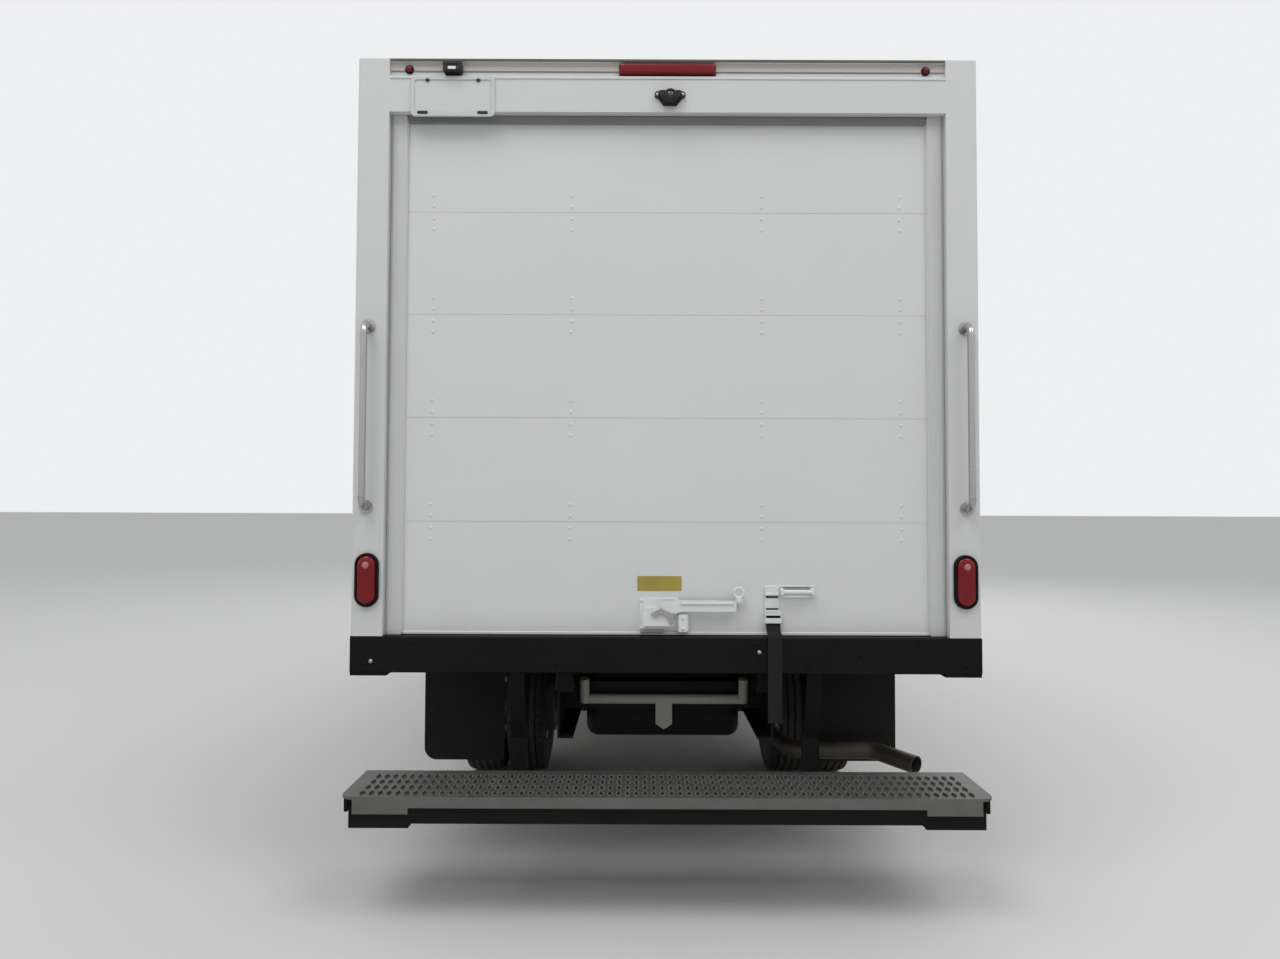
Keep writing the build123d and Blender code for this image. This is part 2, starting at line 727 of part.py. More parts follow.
def rear_wheels():
    outer, inner = dual_middle_x + dual_spacing / 2, dual_middle_x - dual_spacing / 2
    start, end = dual_middle_x - 130, outer + 24
    tube = turned([(start, hub_bore), (start, hub_radius + 14), (start + 30, hub_radius), (end, hub_radius - 8),
                   (end + 12, hub_radius - 22), (end + 12, 0), (end, 0), (end, hub_bore)], 0, 0, 0)
    low, high = inner + disc_offset - disc_thick - 2, outer - disc_offset + disc_thick + 2
    flange = turned([(low, hub_radius - 4), (low, disc_flat_radius - 8), (high, disc_flat_radius - 8),
                     (high, hub_radius - 4)], 0, 0, 0)
    place = Pos(0, rear_axle_y, tyre_radius)
    rims = rim(inner, 1) + rim(outer, -1) + tube + flange
    return place * Compound([tyre(inner), tyre(outer)]), place * rims


# Knuckle: fork about the axle's eye, spindle, brake plate and steering arm
def knuckle():
    x, y, z = kingpin_x, front_axle_y, tyre_radius
    fork = block(x - 36, x + 74, y - 44, y + 44, z - 84, z + 84)
    fork -= block(x - 40, x + 44, y - 50, y + 50, z - beam_eye - 6, z + beam_eye + 6)
    fork = fillet(fork.edges().filter_by(Axis.Z).group_by(Axis.X)[0], 30)
    fork -= rod((x, y, z - 90), (x, y, z + 90), kingpin_radius + running_gap)
    spindle_end = front_wheel_x + disc_offset - disc_thick - 14
    fork += rod((x + 60, y, z), (spindle_end, y, z), hub_bore - running_gap)
    fork += rod((x + 46, y, z), (x + 64, y, z), 150)
    arm_end = y - arm_length - 24
    fork += side_prism([(y - 20, z - 84), (y - 44, z - 60), (arm_end, arm_z + 26), (arm_end, arm_z + 12),
                        (y - 40, z - 84)], x - 20, x + 20)
    return fork + rod((x, y - arm_length, arm_z - 24), (x, y - arm_length, arm_z + 20), arm_pin_radius)


def tie_rod():
    x, y = kingpin_x, front_axle_y - arm_length
    bar = rod((-x, y, arm_z - 12), (x, y, arm_z - 12), 14)
    for side in (-1, 1):
        bar += rod((side * x, y, arm_z - 27), (side * x, y, arm_z + 3), 26)
        bar -= rod((side * x, y, arm_z - 40), (side * x, y, arm_z + 20), arm_pin_radius + running_gap)
    return bar


# Cab shell: the side, end and plan outlines meet in one rounded form
def cab_form(inset):
    back, front = cab_back_y + inset, nose_y - inset
    floor, top = cab_floor_z + inset, cab_roof_z - inset
    side = [(back, floor), (back, top - 40), (back + 600, top), (front - wind_lean - 70, top - 30),
            (front - wind_lean, wind_top_z - inset / 2), (front - 14, wind_base_z), (front, wind_base_z - 90),
            (front, floor)]
    half, roof = half_cab - inset, roof_half - inset
    end = [(-half, floor - 10), (half, floor - 10), (half, cab_belt_z), (roof, top + 60), (-roof, top + 60),
           (-half, cab_belt_z)]
    side_solid = side_prism(side, -half, half)
    side_solid = fillet(side_solid.edges().filter_by(Axis.X).group_by(Axis.Z)[-2], 120)
    plan = Pos(0, 0, floor - 10) * nose_plan(inset, front, back, cab_corner - inset)
    return side_solid & end_prism(end, back, front) & extrude(plan, top + 80 - floor)


# Zone outside the cab's inner skin: upright to the belt, leaning in above it
def side_zone(shift):
    low, high = half_cab - cab_wall + shift, roof_half - cab_wall + shift
    points = [(low, 0), (low, cab_belt_z), (high, cab_roof_z), (cab_reach, cab_roof_z), (cab_reach, 0)]
    return end_prism(points, cab_back_y, nose_y)


def door_outline(grow):
    return [(door_front_y + grow, door_sill_z - grow), (door_front_y + grow, wind_base_z + 20),
            (door_front_y - door_lean + grow, door_head_z + grow), (door_rear_y - grow, door_head_z + grow),
            (door_rear_y - grow, door_sill_z - grow)]


def door_window(shrink):
    low, high = cab_belt_z + 30 + shrink, door_head_z - 62 - shrink
    return [(door_front_y - 75 - shrink, low), (door_front_y - door_lean - 37 - shrink, high),
            (door_rear_y + 60 + shrink, high), (door_rear_y + 60 + shrink, low)]


def windshield_outline(shrink):
    low, high = wind_base_z + 45 + shrink, wind_top_z - 40 - shrink
    low_half, high_half = half_cab - 115 - shrink, roof_half - 90 - shrink
    return [(-low_half, low), (low_half, low), (high_half, high), (-high_half, high)]


def quarter_window(shrink):
    front, back = door_rear_y - 90 - shrink, cab_back_y + 110 + shrink
    low, high = cab_belt_z + 60 + shrink, door_head_z - 90 - shrink
    return [(front, low), (front, high), (back, high - 20), (back, low)]


def back_window(shrink):
    half, low, high = half_cab / 2 - shrink, cab_belt_z + 160 + shrink, cab_roof_z - 275 - shrink
    return [(-half, low), (half, low), (half, high), (-half, high)]


def window_holes(shrink):
    return {"windshield": end_prism(windshield_outline(shrink), nose_y - 480, nose_y + 10, 50),
            "quarter": side_prism(quarter_window(shrink), -cab_reach, cab_reach, 40),
            "back": end_prism(back_window(shrink), cab_back_y - 10, cab_back_y + 90, 50),
            "door": side_prism(door_window(shrink), -cab_reach, cab_reach, 40)}


hinge_x = half_cab + hinge_out
hinge_heights = [(cab_floor_z + 90, cab_floor_z + 160), (cab_belt_z - 110, cab_belt_z - 40)]


# Barrels on the axis of each cab door
def hinge_barrels():
    barrels = []
    for low, high in hinge_heights:
        barrel = rod((hinge_x, door_front_y, low), (hinge_x, door_front_y, high), hinge_radius)
        leaf = block(half_cab, hinge_x + 3, door_front_y, door_front_y + 14, low, high)
        leaf += block(half_cab - 3, hinge_x + 3, door_front_y + 13, door_front_y + 30, low, high)
        barrels.append(barrel + leaf)
    return barrels


# Door skin with a stepped rear edge, a grip, and room for the hinge barrels
def build_door(shell, hole):
    door = shell & side_prism(door_outline(0), 0, cab_reach, 26) & side_zone(1)
    rear_strip = block(0, cab_reach, door_rear_y - 20, door_rear_y + 12, 0, cab_roof_z)
    door = door - (rear_strip - side_zone(cab_wall * 0.66)) - hole
    for low, high in hinge_heights:
        door -= rod((hinge_x, door_front_y, low - 6), (hinge_x, door_front_y, high + 6), hinge_radius + 6)
    grip = block(half_cab - 5, half_cab + 14, door_rear_y + 70, door_rear_y + 220,
                 cab_belt_z - 95, cab_belt_z - 62)
    return door + fillet(grip.edges().group_by(Axis.X)[-1], 6)


def build_cab():
    shell = cab_form(0) - cab_form(cab_wall)
    glass_layer = cab_form(glass_inset) - cab_form(glass_inset + glass_thick)
    holes, panes = window_holes(0), window_holes(0.2)
    door_hole = side_prism(door_outline(shut_gap), 0, cab_reach, 30) & side_zone(-shut_gap)
    frame = shell - door_hole - other_side(door_hole)
    frame = frame - holes["windshield"] - holes["quarter"] - holes["back"]
    roof_cut = block(-cab_reach, cab_reach, cab_back_y - 10, nose_y + 10, roof_split_z, cab_roof_z + 10)
    nose_cut = block(-cab_reach, cab_reach, door_front_y + 12, nose_y + 10, 0, wind_base_z + 10)
    roof = frame & roof_cut
    frame = frame - roof_cut
    nose = frame & nose_cut
    frame = frame - nose_cut
    for barrel in hinge_barrels():
        nose += barrel + other_side(barrel)
    glass = glass_layer & panes["windshield"]
    glass = glass + (glass_layer & panes["quarter"]) + (glass_layer & panes["back"])
    right = block(0, cab_reach, cab_back_y, nose_y, 0, cab_roof_z)
    return frame, roof, nose, glass, build_door(shell, holes["door"]), glass_layer & panes["door"] & right


# Skirt below the nose panel, following the cab's plan outline
def nose_skirt():
    back = nose_y - 400
    inner = nose_plan(cab_wall, nose_y - cab_wall, back, cab_corner - cab_wall)
    ring = nose_plan(0, nose_y, back, cab_corner) - inner
    skirt = extrude(Pos(0, 0, nose_bottom_z) * ring, cab_floor_z - nose_bottom_z)
    return skirt & block(-half_cab, half_cab, door_front_y + 12, nose_y, nose_bottom_z, cab_floor_z)


# Tilt arms under the floor, turning on the chassis pins
def tilt_arm():
    x0, x1 = tilt_arm_x - 16, tilt_arm_x + 16
    arm = side_prism([(tilt_y - 32, tilt_z - 28), (tilt_y + 30, tilt_z - 28), (tilt_y + 30, tilt_z + 40),
                      (tilt_y - 10, cab_floor_z), (tilt_y - 160, cab_floor_z)], x0, x1, 12)
    return arm - rod((x0, tilt_y, tilt_z), (x1, tilt_y, tilt_z), tilt_pin_radius + running_gap)


# Entry steps and wheel arches hang under the cab
def step_and_arch():
    x0, x1 = arch_inner_x, half_cab - 6
    y_front = door_front_y + 6
    plane = Plane(origin=(x0, 0, 0), x_dir=(0, 1, 0), z_dir=(1, 0, 0))
    ring = Circle(arch_radius + arch_thick) - Circle(arch_radius)
    arch = extrude(plane * (Pos(front_axle_y, tyre_radius) * ring), x1 - x0)
    arch = arch & block(x0, x1, front_axle_y - 700, front_axle_y + 700, step_z + 50, cab_floor_z)
    step_back = front_axle_y + arch_radius - 6
    inner = x0 + 100
    tread = block(inner, x1, step_back, y_front, step_z - 30, step_z)
    back = block(inner, inner + 12, step_back, y_front, step_z - 30, cab_floor_z)
    ends = block(inner, x1, step_back, step_back + 12, step_z - 30, cab_floor_z)
    ends += block(inner, x1, y_front - 12, y_front, step_z - 30, cab_floor_z)
    return arch + tread + back + ends


def grille():
    half, low, high, bars = 560, cab_floor_z + 20, cab_floor_z + 250, 4
    y, border, bar_height = nose_y, 26, 22
    frame = block(-half, half, y, y + 16, low, high)
    frame -= block(-half + 30, half - 30, y, y + 16, low + border, high - border)
    pitch = (high - low - 2 * border) / bars
    for index in range(bars):
        z = low + border + pitch * (index + 0.5)
        frame += block(-half + 25, half - 25, y, y + 12, z - bar_height / 2, z + bar_height / 2)
    return frame


def headlamp():
    lamp = block(half_cab - 420, half_cab - cab_corner + 10, nose_y, nose_y + 18,
                 nose_bottom_z + 50, cab_floor_z)
    return fillet(lamp.edges().filter_by(Axis.Y), 30)


def wipers():
    y, z = nose_y - 8, wind_base_z + 14
    arms = []
    for pivot_x, reach in ((-520, 480), (160, 480)):
        arms.append(rod((pivot_x, y, z), (pivot_x, y + 22, z), 14)
                    + rod((pivot_x, y + 16, z), (pivot_x + reach, y - 4, z + 80), 7))
    return arms


def dashboard():
    front, half = nose_y - cab_wall, half_cab - cab_corner - 5
    outline = [(front, cab_floor_z + 130), (front, cab_belt_z - 125), (front - 18, cab_belt_z - 30),
               (front - 90, cab_belt_z - 20), (front - 330, cab_belt_z - 80), (front - 350, cab_belt_z - 190),
               (front - 200, cab_floor_z + 130)]
    shelf = side_prism(outline, -half, half, 8)
    column = rod((driver_x, front - 270, wheel_z - 92), (driver_x, front - 372, wheel_z - 20), 32)
    return shelf + column


def steering_wheel():
    centre = Vector(driver_x, nose_y - cab_wall - 400, wheel_z)
    plane = Plane(origin=centre, x_dir=(1, 0, 0), z_dir=Vector(0, -102, 72))
    wheel = plane * Torus(205, 15)
    wheel += extrude(plane * Circle(52), 26, both=True)
    for angle in (0, 120, 240):
        wheel += plane * (Rot(0, 0, angle + 90) * Pos(120, 0, 0) * Box(160, 34, 16))
    return wheel


def seat(x0, x1):
    floor = cab_floor_z + cab_wall
    front, back = nose_y - 640, cab_back_y + cab_wall + 30
    base = block(x0 + 30, x1 - 30, back + 150, front - 40, floor, floor + 260)
    cushion = fillet(block(x0, x1, back + 120, front, floor + 260, floor + 400).edges(), 40)
    outline = [(back + 110, floor + 400), (back + 240, floor + 400), (back + 150, floor + 1000),
               (back + 60, floor + 1000)]
    return base + cushion + side_prism(outline, x0 + 5, x1 - 5, 35)


def mirror_arm():
    out_x, y = half_cab + mirror_out, nose_y - 60
    low, high = cab_belt_z + 10, cab_roof_z - 245
    arm = pipe([(half_cab - 120, nose_y - 300, high), (out_x, y, high), (out_x, y, low),
                (half_cab - 80, nose_y - 110, low)], 14, 50)
    head = fillet(block(out_x - 110, out_x + 110, y - 60, y + 20, low + 150, high - 120).edges(), 25)
    spot = fillet(block(out_x - 100, out_x + 100, y - 56, y + 16, low + 22, low + 132).edges(), 20)
    return arm - cab_form(0) + head + spot


frame, roof, nose, glass, cab_door, door_glass = build_cab()
front_tyre, front_rim = front_wheel()
rear_tyres, rear_rims = rear_wheels()
front_seat_z = beam_z + 66
rear_seat_z = tyre_radius + axle_tube_radius + spring_seat
springs = [leaf_spring(front_axle_y, front_spring_half, front_seat_z, front_spring_rise),
           leaf_spring(rear_axle_y, rear_spring_half, rear_seat_z, rear_spring_rise)]

save("chassis_rails", chassis_rails())
save("rear_sill", rear_sill())
save("van_floor", van_floor())
save("cross_sills", *cross_sills())
save("long_sills", both_sides(long_sill()))
save("van_wall_right", van_wall())
save("van_wall_left", other_side(van_wall()))
save("van_front_wall", van_front_wall())
save("van_roof", van_roof())
save("rear_door_frame", rear_door_frame())
save("roll_up_door", roll_up_door())
save("door_tracks", both_sides(door_track()))
save("door_hardware", *door_hardware())
save("pull_strap", pull_strap())
save("grab_handles", both_sides(grab_handle()))
save("tail_lamps", both_sides(tail_lamp()))
save("top_lamps", *top_lamps())
save("header_fittings", *header_fittings())
save("step_tread", step_tread())
save("step_frame", step_frame())
save("step_hangers", both_sides(step_hanger()))
save("mud_flaps", both_sides(mud_flap()))
save("cross_bar", cross_bar())
save("fuel_tank", fuel_tank())
save("exhaust", exhaust())
save("rear_axle", rear_axle())
save("driveshaft", driveshaft())
save("leaf_springs", *springs, *[other_side(spring) for spring in springs])
save("front_axle", front_axle())
save("engine", engine())
save("battery_box", battery_box())
save("front_bumper", front_bumper())

save("cab_frame", frame + tilt_arm() + other_side(tilt_arm()))
save("cab_roof", roof)
save("cab_nose", nose + nose_skirt())
save("cab_glass", glass)
save("steps_and_arches", both_sides(step_and_arch()))
save("grille", grille())
save("headlamps", both_sides(headlamp()))
save("wipers", *wipers())
save("dashboard", dashboard())
save("seats", seat(340 - half_cab, 840 - half_cab), seat(half_cab - 960, half_cab - 160))
save("mirrors", both_sides(mirror_arm()))
save("steering_wheel", steering_wheel())

for side, place in (("right", lambda shape: shape), ("left", other_side)):
    save(f"door_{side}", place(cab_door))
    save(f"door_glass_{side}", place(door_glass))
    save(f"knuckle_{side}", place(knuckle()))
    save(f"front_tyre_{side}", place(front_tyre))
    save(f"front_rim_{side}", place(front_rim))
    save(f"rear_tyres_{side}", place(rear_tyres))
    save(f"rear_rims_{side}", place(rear_rims))
save("tie_rod", tie_rod())
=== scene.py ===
import json
import math
import bmesh
import bpy
import numpy as np
from mathutils import Matrix, Vector


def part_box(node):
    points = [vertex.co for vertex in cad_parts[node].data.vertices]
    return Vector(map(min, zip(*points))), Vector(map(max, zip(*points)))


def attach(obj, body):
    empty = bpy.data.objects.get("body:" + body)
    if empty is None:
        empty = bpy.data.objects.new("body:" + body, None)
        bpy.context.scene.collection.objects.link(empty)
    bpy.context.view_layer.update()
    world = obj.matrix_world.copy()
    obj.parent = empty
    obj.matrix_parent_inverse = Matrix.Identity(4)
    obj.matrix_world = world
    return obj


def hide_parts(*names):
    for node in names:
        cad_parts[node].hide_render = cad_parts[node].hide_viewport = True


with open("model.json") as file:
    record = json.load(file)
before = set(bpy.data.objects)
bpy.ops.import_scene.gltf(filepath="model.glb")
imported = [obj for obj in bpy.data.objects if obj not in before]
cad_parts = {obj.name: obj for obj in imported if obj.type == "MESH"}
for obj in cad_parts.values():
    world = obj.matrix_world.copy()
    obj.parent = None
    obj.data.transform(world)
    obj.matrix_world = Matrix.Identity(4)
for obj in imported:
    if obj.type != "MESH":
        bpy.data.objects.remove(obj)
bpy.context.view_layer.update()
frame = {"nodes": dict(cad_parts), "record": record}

# Box truck seen from behind: metres, +Y forward, +X to the truck's right, +Z up
nodes = frame["nodes"]
print("stage: frame loaded,", len(nodes), "nodes")


def lowOf(node):
    return np.array(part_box(node)[0])


def highOf(node):
    return np.array(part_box(node)[1])


def middleOf(node):
    return (lowOf(node) + highOf(node)) / 2


# Places that the pieces share, read from the frame
sillLow, sillHigh = lowOf("rear_sill"), highOf("rear_sill")
sillY = sillLow[1]  # back face of the sill and of the rear posts
deckZ = sillHigh[2]
halfBody = highOf("van_roof")[0]
roofZ = highOf("van_roof")[2]
doorFaceY = lowOf("roll_up_door")[1]
halfDoor = highOf("roll_up_door")[0]
treadTopZ = highOf("step_tread")[2]
treadHalf = highOf("step_tread")[0]
treadBackY = lowOf("step_tread")[1]
rearward, forward, rightward = (0, -1, 0), (0, 1, 0), (1, 0, 0)
bothSides = ((-1, "left"), (1, "right"))


# Mesh helpers: every shape is a pair of arrays, points and faces
def gridFaces(rows, columns, closeRows=False, closeColumns=False):
    # Quads between neighbouring grid points, wrapping round where a direction is closed
    rowCount = rows if closeRows else rows - 1
    columnCount = columns if closeColumns else columns - 1
    r, c = np.meshgrid(np.arange(rowCount), np.arange(columnCount), indexing="ij")
    r, c = r.ravel(), c.ravel()
    nextR, nextC = (r + 1) % rows, (c + 1) % columns
    return np.stack([r * columns + c, nextR * columns + c, nextR * columns + nextC, r * columns + nextC], 1)


def turned(profile, segments=48, axis="x", centre=(0, 0, 0), closed=False):
    # Surface of revolution: each profile point (along, radius) goes round the axis
    profile = np.asarray(profile, float)
    angle = np.linspace(0, 2 * math.pi, segments, endpoint=False)
    along = np.broadcast_to(profile[:, 0][:, None], (len(profile), segments))
    ringA = profile[:, 1][:, None] * np.cos(angle)
    ringB = profile[:, 1][:, None] * np.sin(angle)
    order = {"x": (along, ringA, ringB), "y": (ringB, along, ringA), "z": (ringA, ringB, along)}[axis]
    points = np.stack(order, -1).reshape(-1, 3) + np.asarray(centre, float)
    return points, gridFaces(len(profile), segments, closed, True)


def slab(low, high, bevel=0.0, at=(0, 0, 0)):
    # Box between two corners measured from a point; a bevel makes each face smaller and cuts the edges
    low, high = np.add(low, at), np.add(high, at)
    if not bevel:
        sign = np.array([[x, y, z] for x in (0, 1) for y in (0, 1) for z in (0, 1)], float)
        faces = np.array([[0, 1, 3, 2], [4, 6, 7, 5], [0, 4, 5, 1], [2, 3, 7, 6], [0, 2, 6, 4], [1, 5, 7, 3]])
        return low + sign * (high - low), faces
    mid, half = (low + high) / 2, (high - low) / 2
    loops = []
    for z, inset in ((-half[2], bevel), (-half[2] + bevel, 0), (half[2] - bevel, 0), (half[2], bevel)):
        w, d = half[0] - inset, half[1] - inset
        cut = bevel if not inset else bevel * 0.4
        ring = [(-w + cut, -d), (w - cut, -d), (w, -d + cut), (w, d - cut), (w - cut, d), (-w + cut, d),
                (-w, d - cut), (-w, -d + cut)]
        loops.append([(x, y, z) for x, y in ring])
    points = np.array(loops).reshape(-1, 3) + mid
    faces = [list(face) for face in gridFaces(4, 8, False, True)[:, ::-1]]
    return points, faces + [list(range(7, -1, -1)), list(range(24, 32))]


def plate(outline, depth, axis="y", start=0.0):
    # A flat outline pushed along an axis: two rings of points, a wall between them and two caps
    outline = np.asarray(outline, float)
    count = len(outline)
    level = np.array([start, start + depth])
    a = np.tile(outline[:, 0], 2)
    b = np.tile(outline[:, 1], 2)
    along = np.repeat(level, count)
    points = np.stack({"x": (along, a, b), "y": (a, along, b), "z": (a, b, along)}[axis], 1)
    walls = gridFaces(2, count, False, True)
    area = np.sum(outline[:, 0] * np.roll(outline[:, 1], -1) - np.roll(outline[:, 0], -1) * outline[:, 1])
    flip = (area > 0) == (axis in "xz")
    faces = [list(face if not flip else face[::-1]) for face in walls]
    first, last = list(range(count)), list(range(count, 2 * count))
    faces.append(first[::-1] if flip else first)
    faces.append(last if flip else last[::-1])
    return points, faces


def swept(path, profile, up=(0, 0, 1), caps=True):
    # A closed profile carried along a path; its first axis is sideways and its second is up
    path, profile = np.asarray(path, float), np.asarray(profile, float)
    tangent = np.gradient(path, axis=0)
    tangent /= np.linalg.norm(tangent, axis=1)[:, None]
    side = np.cross(tangent, np.asarray(up, float))
    side /= np.linalg.norm(side, axis=1)[:, None]
    upward = np.cross(side, tangent)
    points = (path[:, None] + side[:, None] * profile[None, :, :1] + upward[:, None] * profile[None, :, 1:])
    faces = [list(face) for face in gridFaces(len(path), len(profile), False, True)]
    if caps:
        last = (len(path) - 1) * len(profile)
        faces.append(list(range(len(profile)))[::-1])
        faces.append(list(range(last, last + len(profile))))
    return points.reshape(-1, 3), faces


def circle(radius, count=16):
    angle = np.linspace(0, 2 * math.pi, count, endpoint=False)
    return np.stack([radius * np.cos(angle), radius * np.sin(angle)], 1)


def stadium(halfWide, halfTall, count=24):
    # Outline of an upright oval with straight sides: half circles about two centres
    angle = np.linspace(0, 2 * math.pi, count, endpoint=False) + math.pi / count
    reach = halfTall - halfWide
    return np.stack([halfWide * np.cos(angle), halfWide * np.sin(angle) + reach * np.sign(np.sin(angle))], 1)


def domes(centres, radius, height, out, segments=8):
    # Low rivet heads: three rings that shrink towards the crown, one copy at each centre
    out = np.asarray(out, float)
    helper = np.array([0.0, 0.0, 1.0]) if abs(out[2]) < 0.9 else np.array([1.0, 0.0, 0.0])
    side = np.cross(out, helper)
    side /= np.linalg.norm(side)
    upward = np.cross(out, side)
    angle = np.linspace(0, 2 * math.pi, segments, endpoint=False)
    share = np.array([[1.0, 0.0], [0.82, 0.62], [0.35, 0.96]])
    ring = np.cos(angle)[:, None] * side + np.sin(angle)[:, None] * upward
    one = (share[:, None, :1] * radius * ring[None] + share[:, None, 1:] * height * out).reshape(-1, 3)
    centres = np.asarray(centres, float)
    points = (centres[:, None] + one[None]).reshape(-1, 3)
    base = [list(face[::-1]) for face in gridFaces(3, segments, False, True)]
    base.append([2 * segments + index for index in range(segments)][::-1])
    faces = [[index + copy * len(one) for index in face] for copy in range(len(centres)) for face in base]
    return points, faces


def roundRect(halfWide, halfTall, corner, steps=5):
    # Outline with rounded corners: quarter circles about four inner corners
    angle = np.linspace(0, math.pi / 2, steps)
    quarter = np.stack([np.cos(angle), np.sin(angle)], 1) * corner
    sides = []
    for turn, (sx, sz) in enumerate([(1, 1), (-1, 1), (-1, -1), (1, -1)]):
        c, s = math.cos(turn * math.pi / 2), math.sin(turn * math.pi / 2)
        sides.append(quarter @ np.array([[c, s], [-s, c]])
                     + [sx * (halfWide - corner), sz * (halfTall - corner)])
    return np.concatenate(sides)


def stacked(outlines, levels, centre, capFirst=True, capLast=True):
    # Loft through outlines of one count: ring i lies in the upright plane y = levels[i]
    count = len(outlines[0])
    rings = [np.stack([o[:, 0] + centre[0], np.full(count, level), o[:, 1] + centre[1]], 1)
             for o, level in zip(outlines, levels)]
    faces = [list(f) for f in gridFaces(len(rings), count, False, True)]
    if capFirst:
        faces.append(list(range(count)))
    if capLast:
        faces.append(list(range((len(rings) - 1) * count, len(rings) * count)))
    return np.concatenate(rings), faces


def addPiece(name, shapes, material, body="chassis", smooth=False, bevel=0.0):
    # Joins the shapes into one mesh, gives it its material and the body it rides on
    points, faces, offset = [], [], 0
    for shapePoints, shapeFaces in shapes:
        points.append(shapePoints)
        faces.extend([[int(index) + offset for index in face] for face in shapeFaces])
        offset += len(shapePoints)
    mesh = bpy.data.meshes.new(name)
    mesh.from_pydata(np.concatenate(points).tolist(), [], faces)
    mesh.validate()
    work = bmesh.new()
    work.from_mesh(mesh)
    bmesh.ops.recalc_face_normals(work, faces=work.faces)
    work.to_mesh(mesh)
    work.free()
    mesh.polygons.foreach_set("use_smooth", np.full(len(mesh.polygons), smooth))
    piece = bpy.data.objects.new(name, mesh)
    bpy.context.scene.collection.objects.link(piece)
    piece.data.materials.append(material)
    if bevel:
        cut = piece.modifiers.new("softEdges", "BEVEL")
        cut.width = bevel
        cut.segments = 2
        cut.limit_method = "ANGLE"
        cut.angle_limit = math.radians(40)
    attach(piece, body)
    return piece


# Shader helpers: settings are the node's own, values go on its sockets, links feed its inputs
def addNode(tree, kind, values={}, links={}, **settings):
    node = tree.nodes.new("ShaderNode" + kind)
    for key, value in settings.items():
        setattr(node, key, value)
    for key, value in values.items():
        node.inputs[key].default_value = value
    for key, source in links.items():
        tree.links.new(source, node.inputs[key])
    return node


def newGroup(name, inputs, outputs):
    # Node group with plain numbers going in and coming out
    group = bpy.data.node_groups.new(name, "ShaderNodeTree")
    for label, value in inputs.items():
        socket = group.interface.new_socket(label, in_out="INPUT", socket_type="NodeSocketFloat")
        socket.default_value = value
    for label in outputs:
        group.interface.new_socket(label, in_out="OUTPUT", socket_type="NodeSocketFloat")
    return group, group.nodes.new("NodeGroupInput").outputs, group.nodes.new("NodeGroupOutput").inputs


def buildGrime():
    # Dirt that thickens towards the road and breaks up in patches
    group, given, out = newGroup("roadGrime", {"Amount": 0.4, "Top": 1.2, "Scale": 4.0}, ["Mask"])
    place = addNode(group, "TexCoord").outputs["Object"]
    height = addNode(group, "SeparateXYZ", {}, {0: place}).outputs["Z"]
    fade = addNode(group, "MapRange", {"From Max": 0.0}, {"Value": height, "From Min": given["Top"]})
    noise = addNode(group, "TexNoise", {"Detail": 8, "Roughness": 0.65},
                    {"Vector": place, "Scale": given["Scale"]})
    patch = addNode(group, "MapRange", {"From Min": 0.35, "From Max": 0.7}, {"Value": noise.outputs["Fac"]})
    low = addNode(group, "Math", {1: 0.75, 2: 0.25}, {0: patch.outputs[0]}, operation="MULTIPLY_ADD")
    mix = addNode(group, "Math", {}, {0: fade.outputs[0], 1: low.outputs[0]}, operation="MULTIPLY")
    mask = addNode(group, "Math", {}, {0: mix.outputs[0], 1: given["Amount"]}, operation="MULTIPLY",
                   use_clamp=True)
    group.links.new(mask.outputs[0], out["Mask"])
    return group


def buildGrain():
    # Fine surface grain over a slow change of tone
    group, given, out = newGroup("surfaceGrain", {"Fine": 300.0, "Slow": 2.0}, ["Height", "Tone"])
    place = addNode(group, "TexCoord").outputs["Object"]
    for scaleName, outName, detail in (("Fine", "Height", 2.0), ("Slow", "Tone", 5.0)):
        noise = addNode(group, "TexNoise", {"Detail": detail}, {"Vector": place, "Scale": given[scaleName]})
        group.links.new(noise.outputs["Fac"], out[outName])
    return group


def buildEdgeWear():
    # Mask along sharp edges: where a rounded normal leaves the true one, broken by noise
    group, given, out = newGroup("edgeWear", {"Radius": 0.004, "Break": 60.0}, ["Mask"])
    rounded = addNode(group, "Bevel", {}, {"Radius": given["Radius"]}, samples=4)
    normal = addNode(group, "NewGeometry").outputs["Normal"]
    dot = addNode(group, "VectorMath", {}, {0: rounded.outputs[0], 1: normal}, operation="DOT_PRODUCT")
    place = addNode(group, "TexCoord").outputs["Object"]
    noise = addNode(group, "TexNoise", {"Detail": 4}, {"Vector": place, "Scale": given["Break"]})
    shade = addNode(group, "MapRange", {"From Min": 0.97, "From Max": 0.8}, {"Value": dot.outputs["Value"]})
    mask = addNode(group, "Math", {}, {0: shade.outputs[0], 1: noise.outputs["Fac"]}, operation="MULTIPLY",
                   use_clamp=True)
    group.links.new(mask.outputs[0], out["Mask"])
    return group


grimeGroup, grainGroup, wearGroup = buildGrime(), buildGrain(), buildEdgeWear()


slotFinish = {}  # finish of the frame's nodes in each slot: the first one made for it


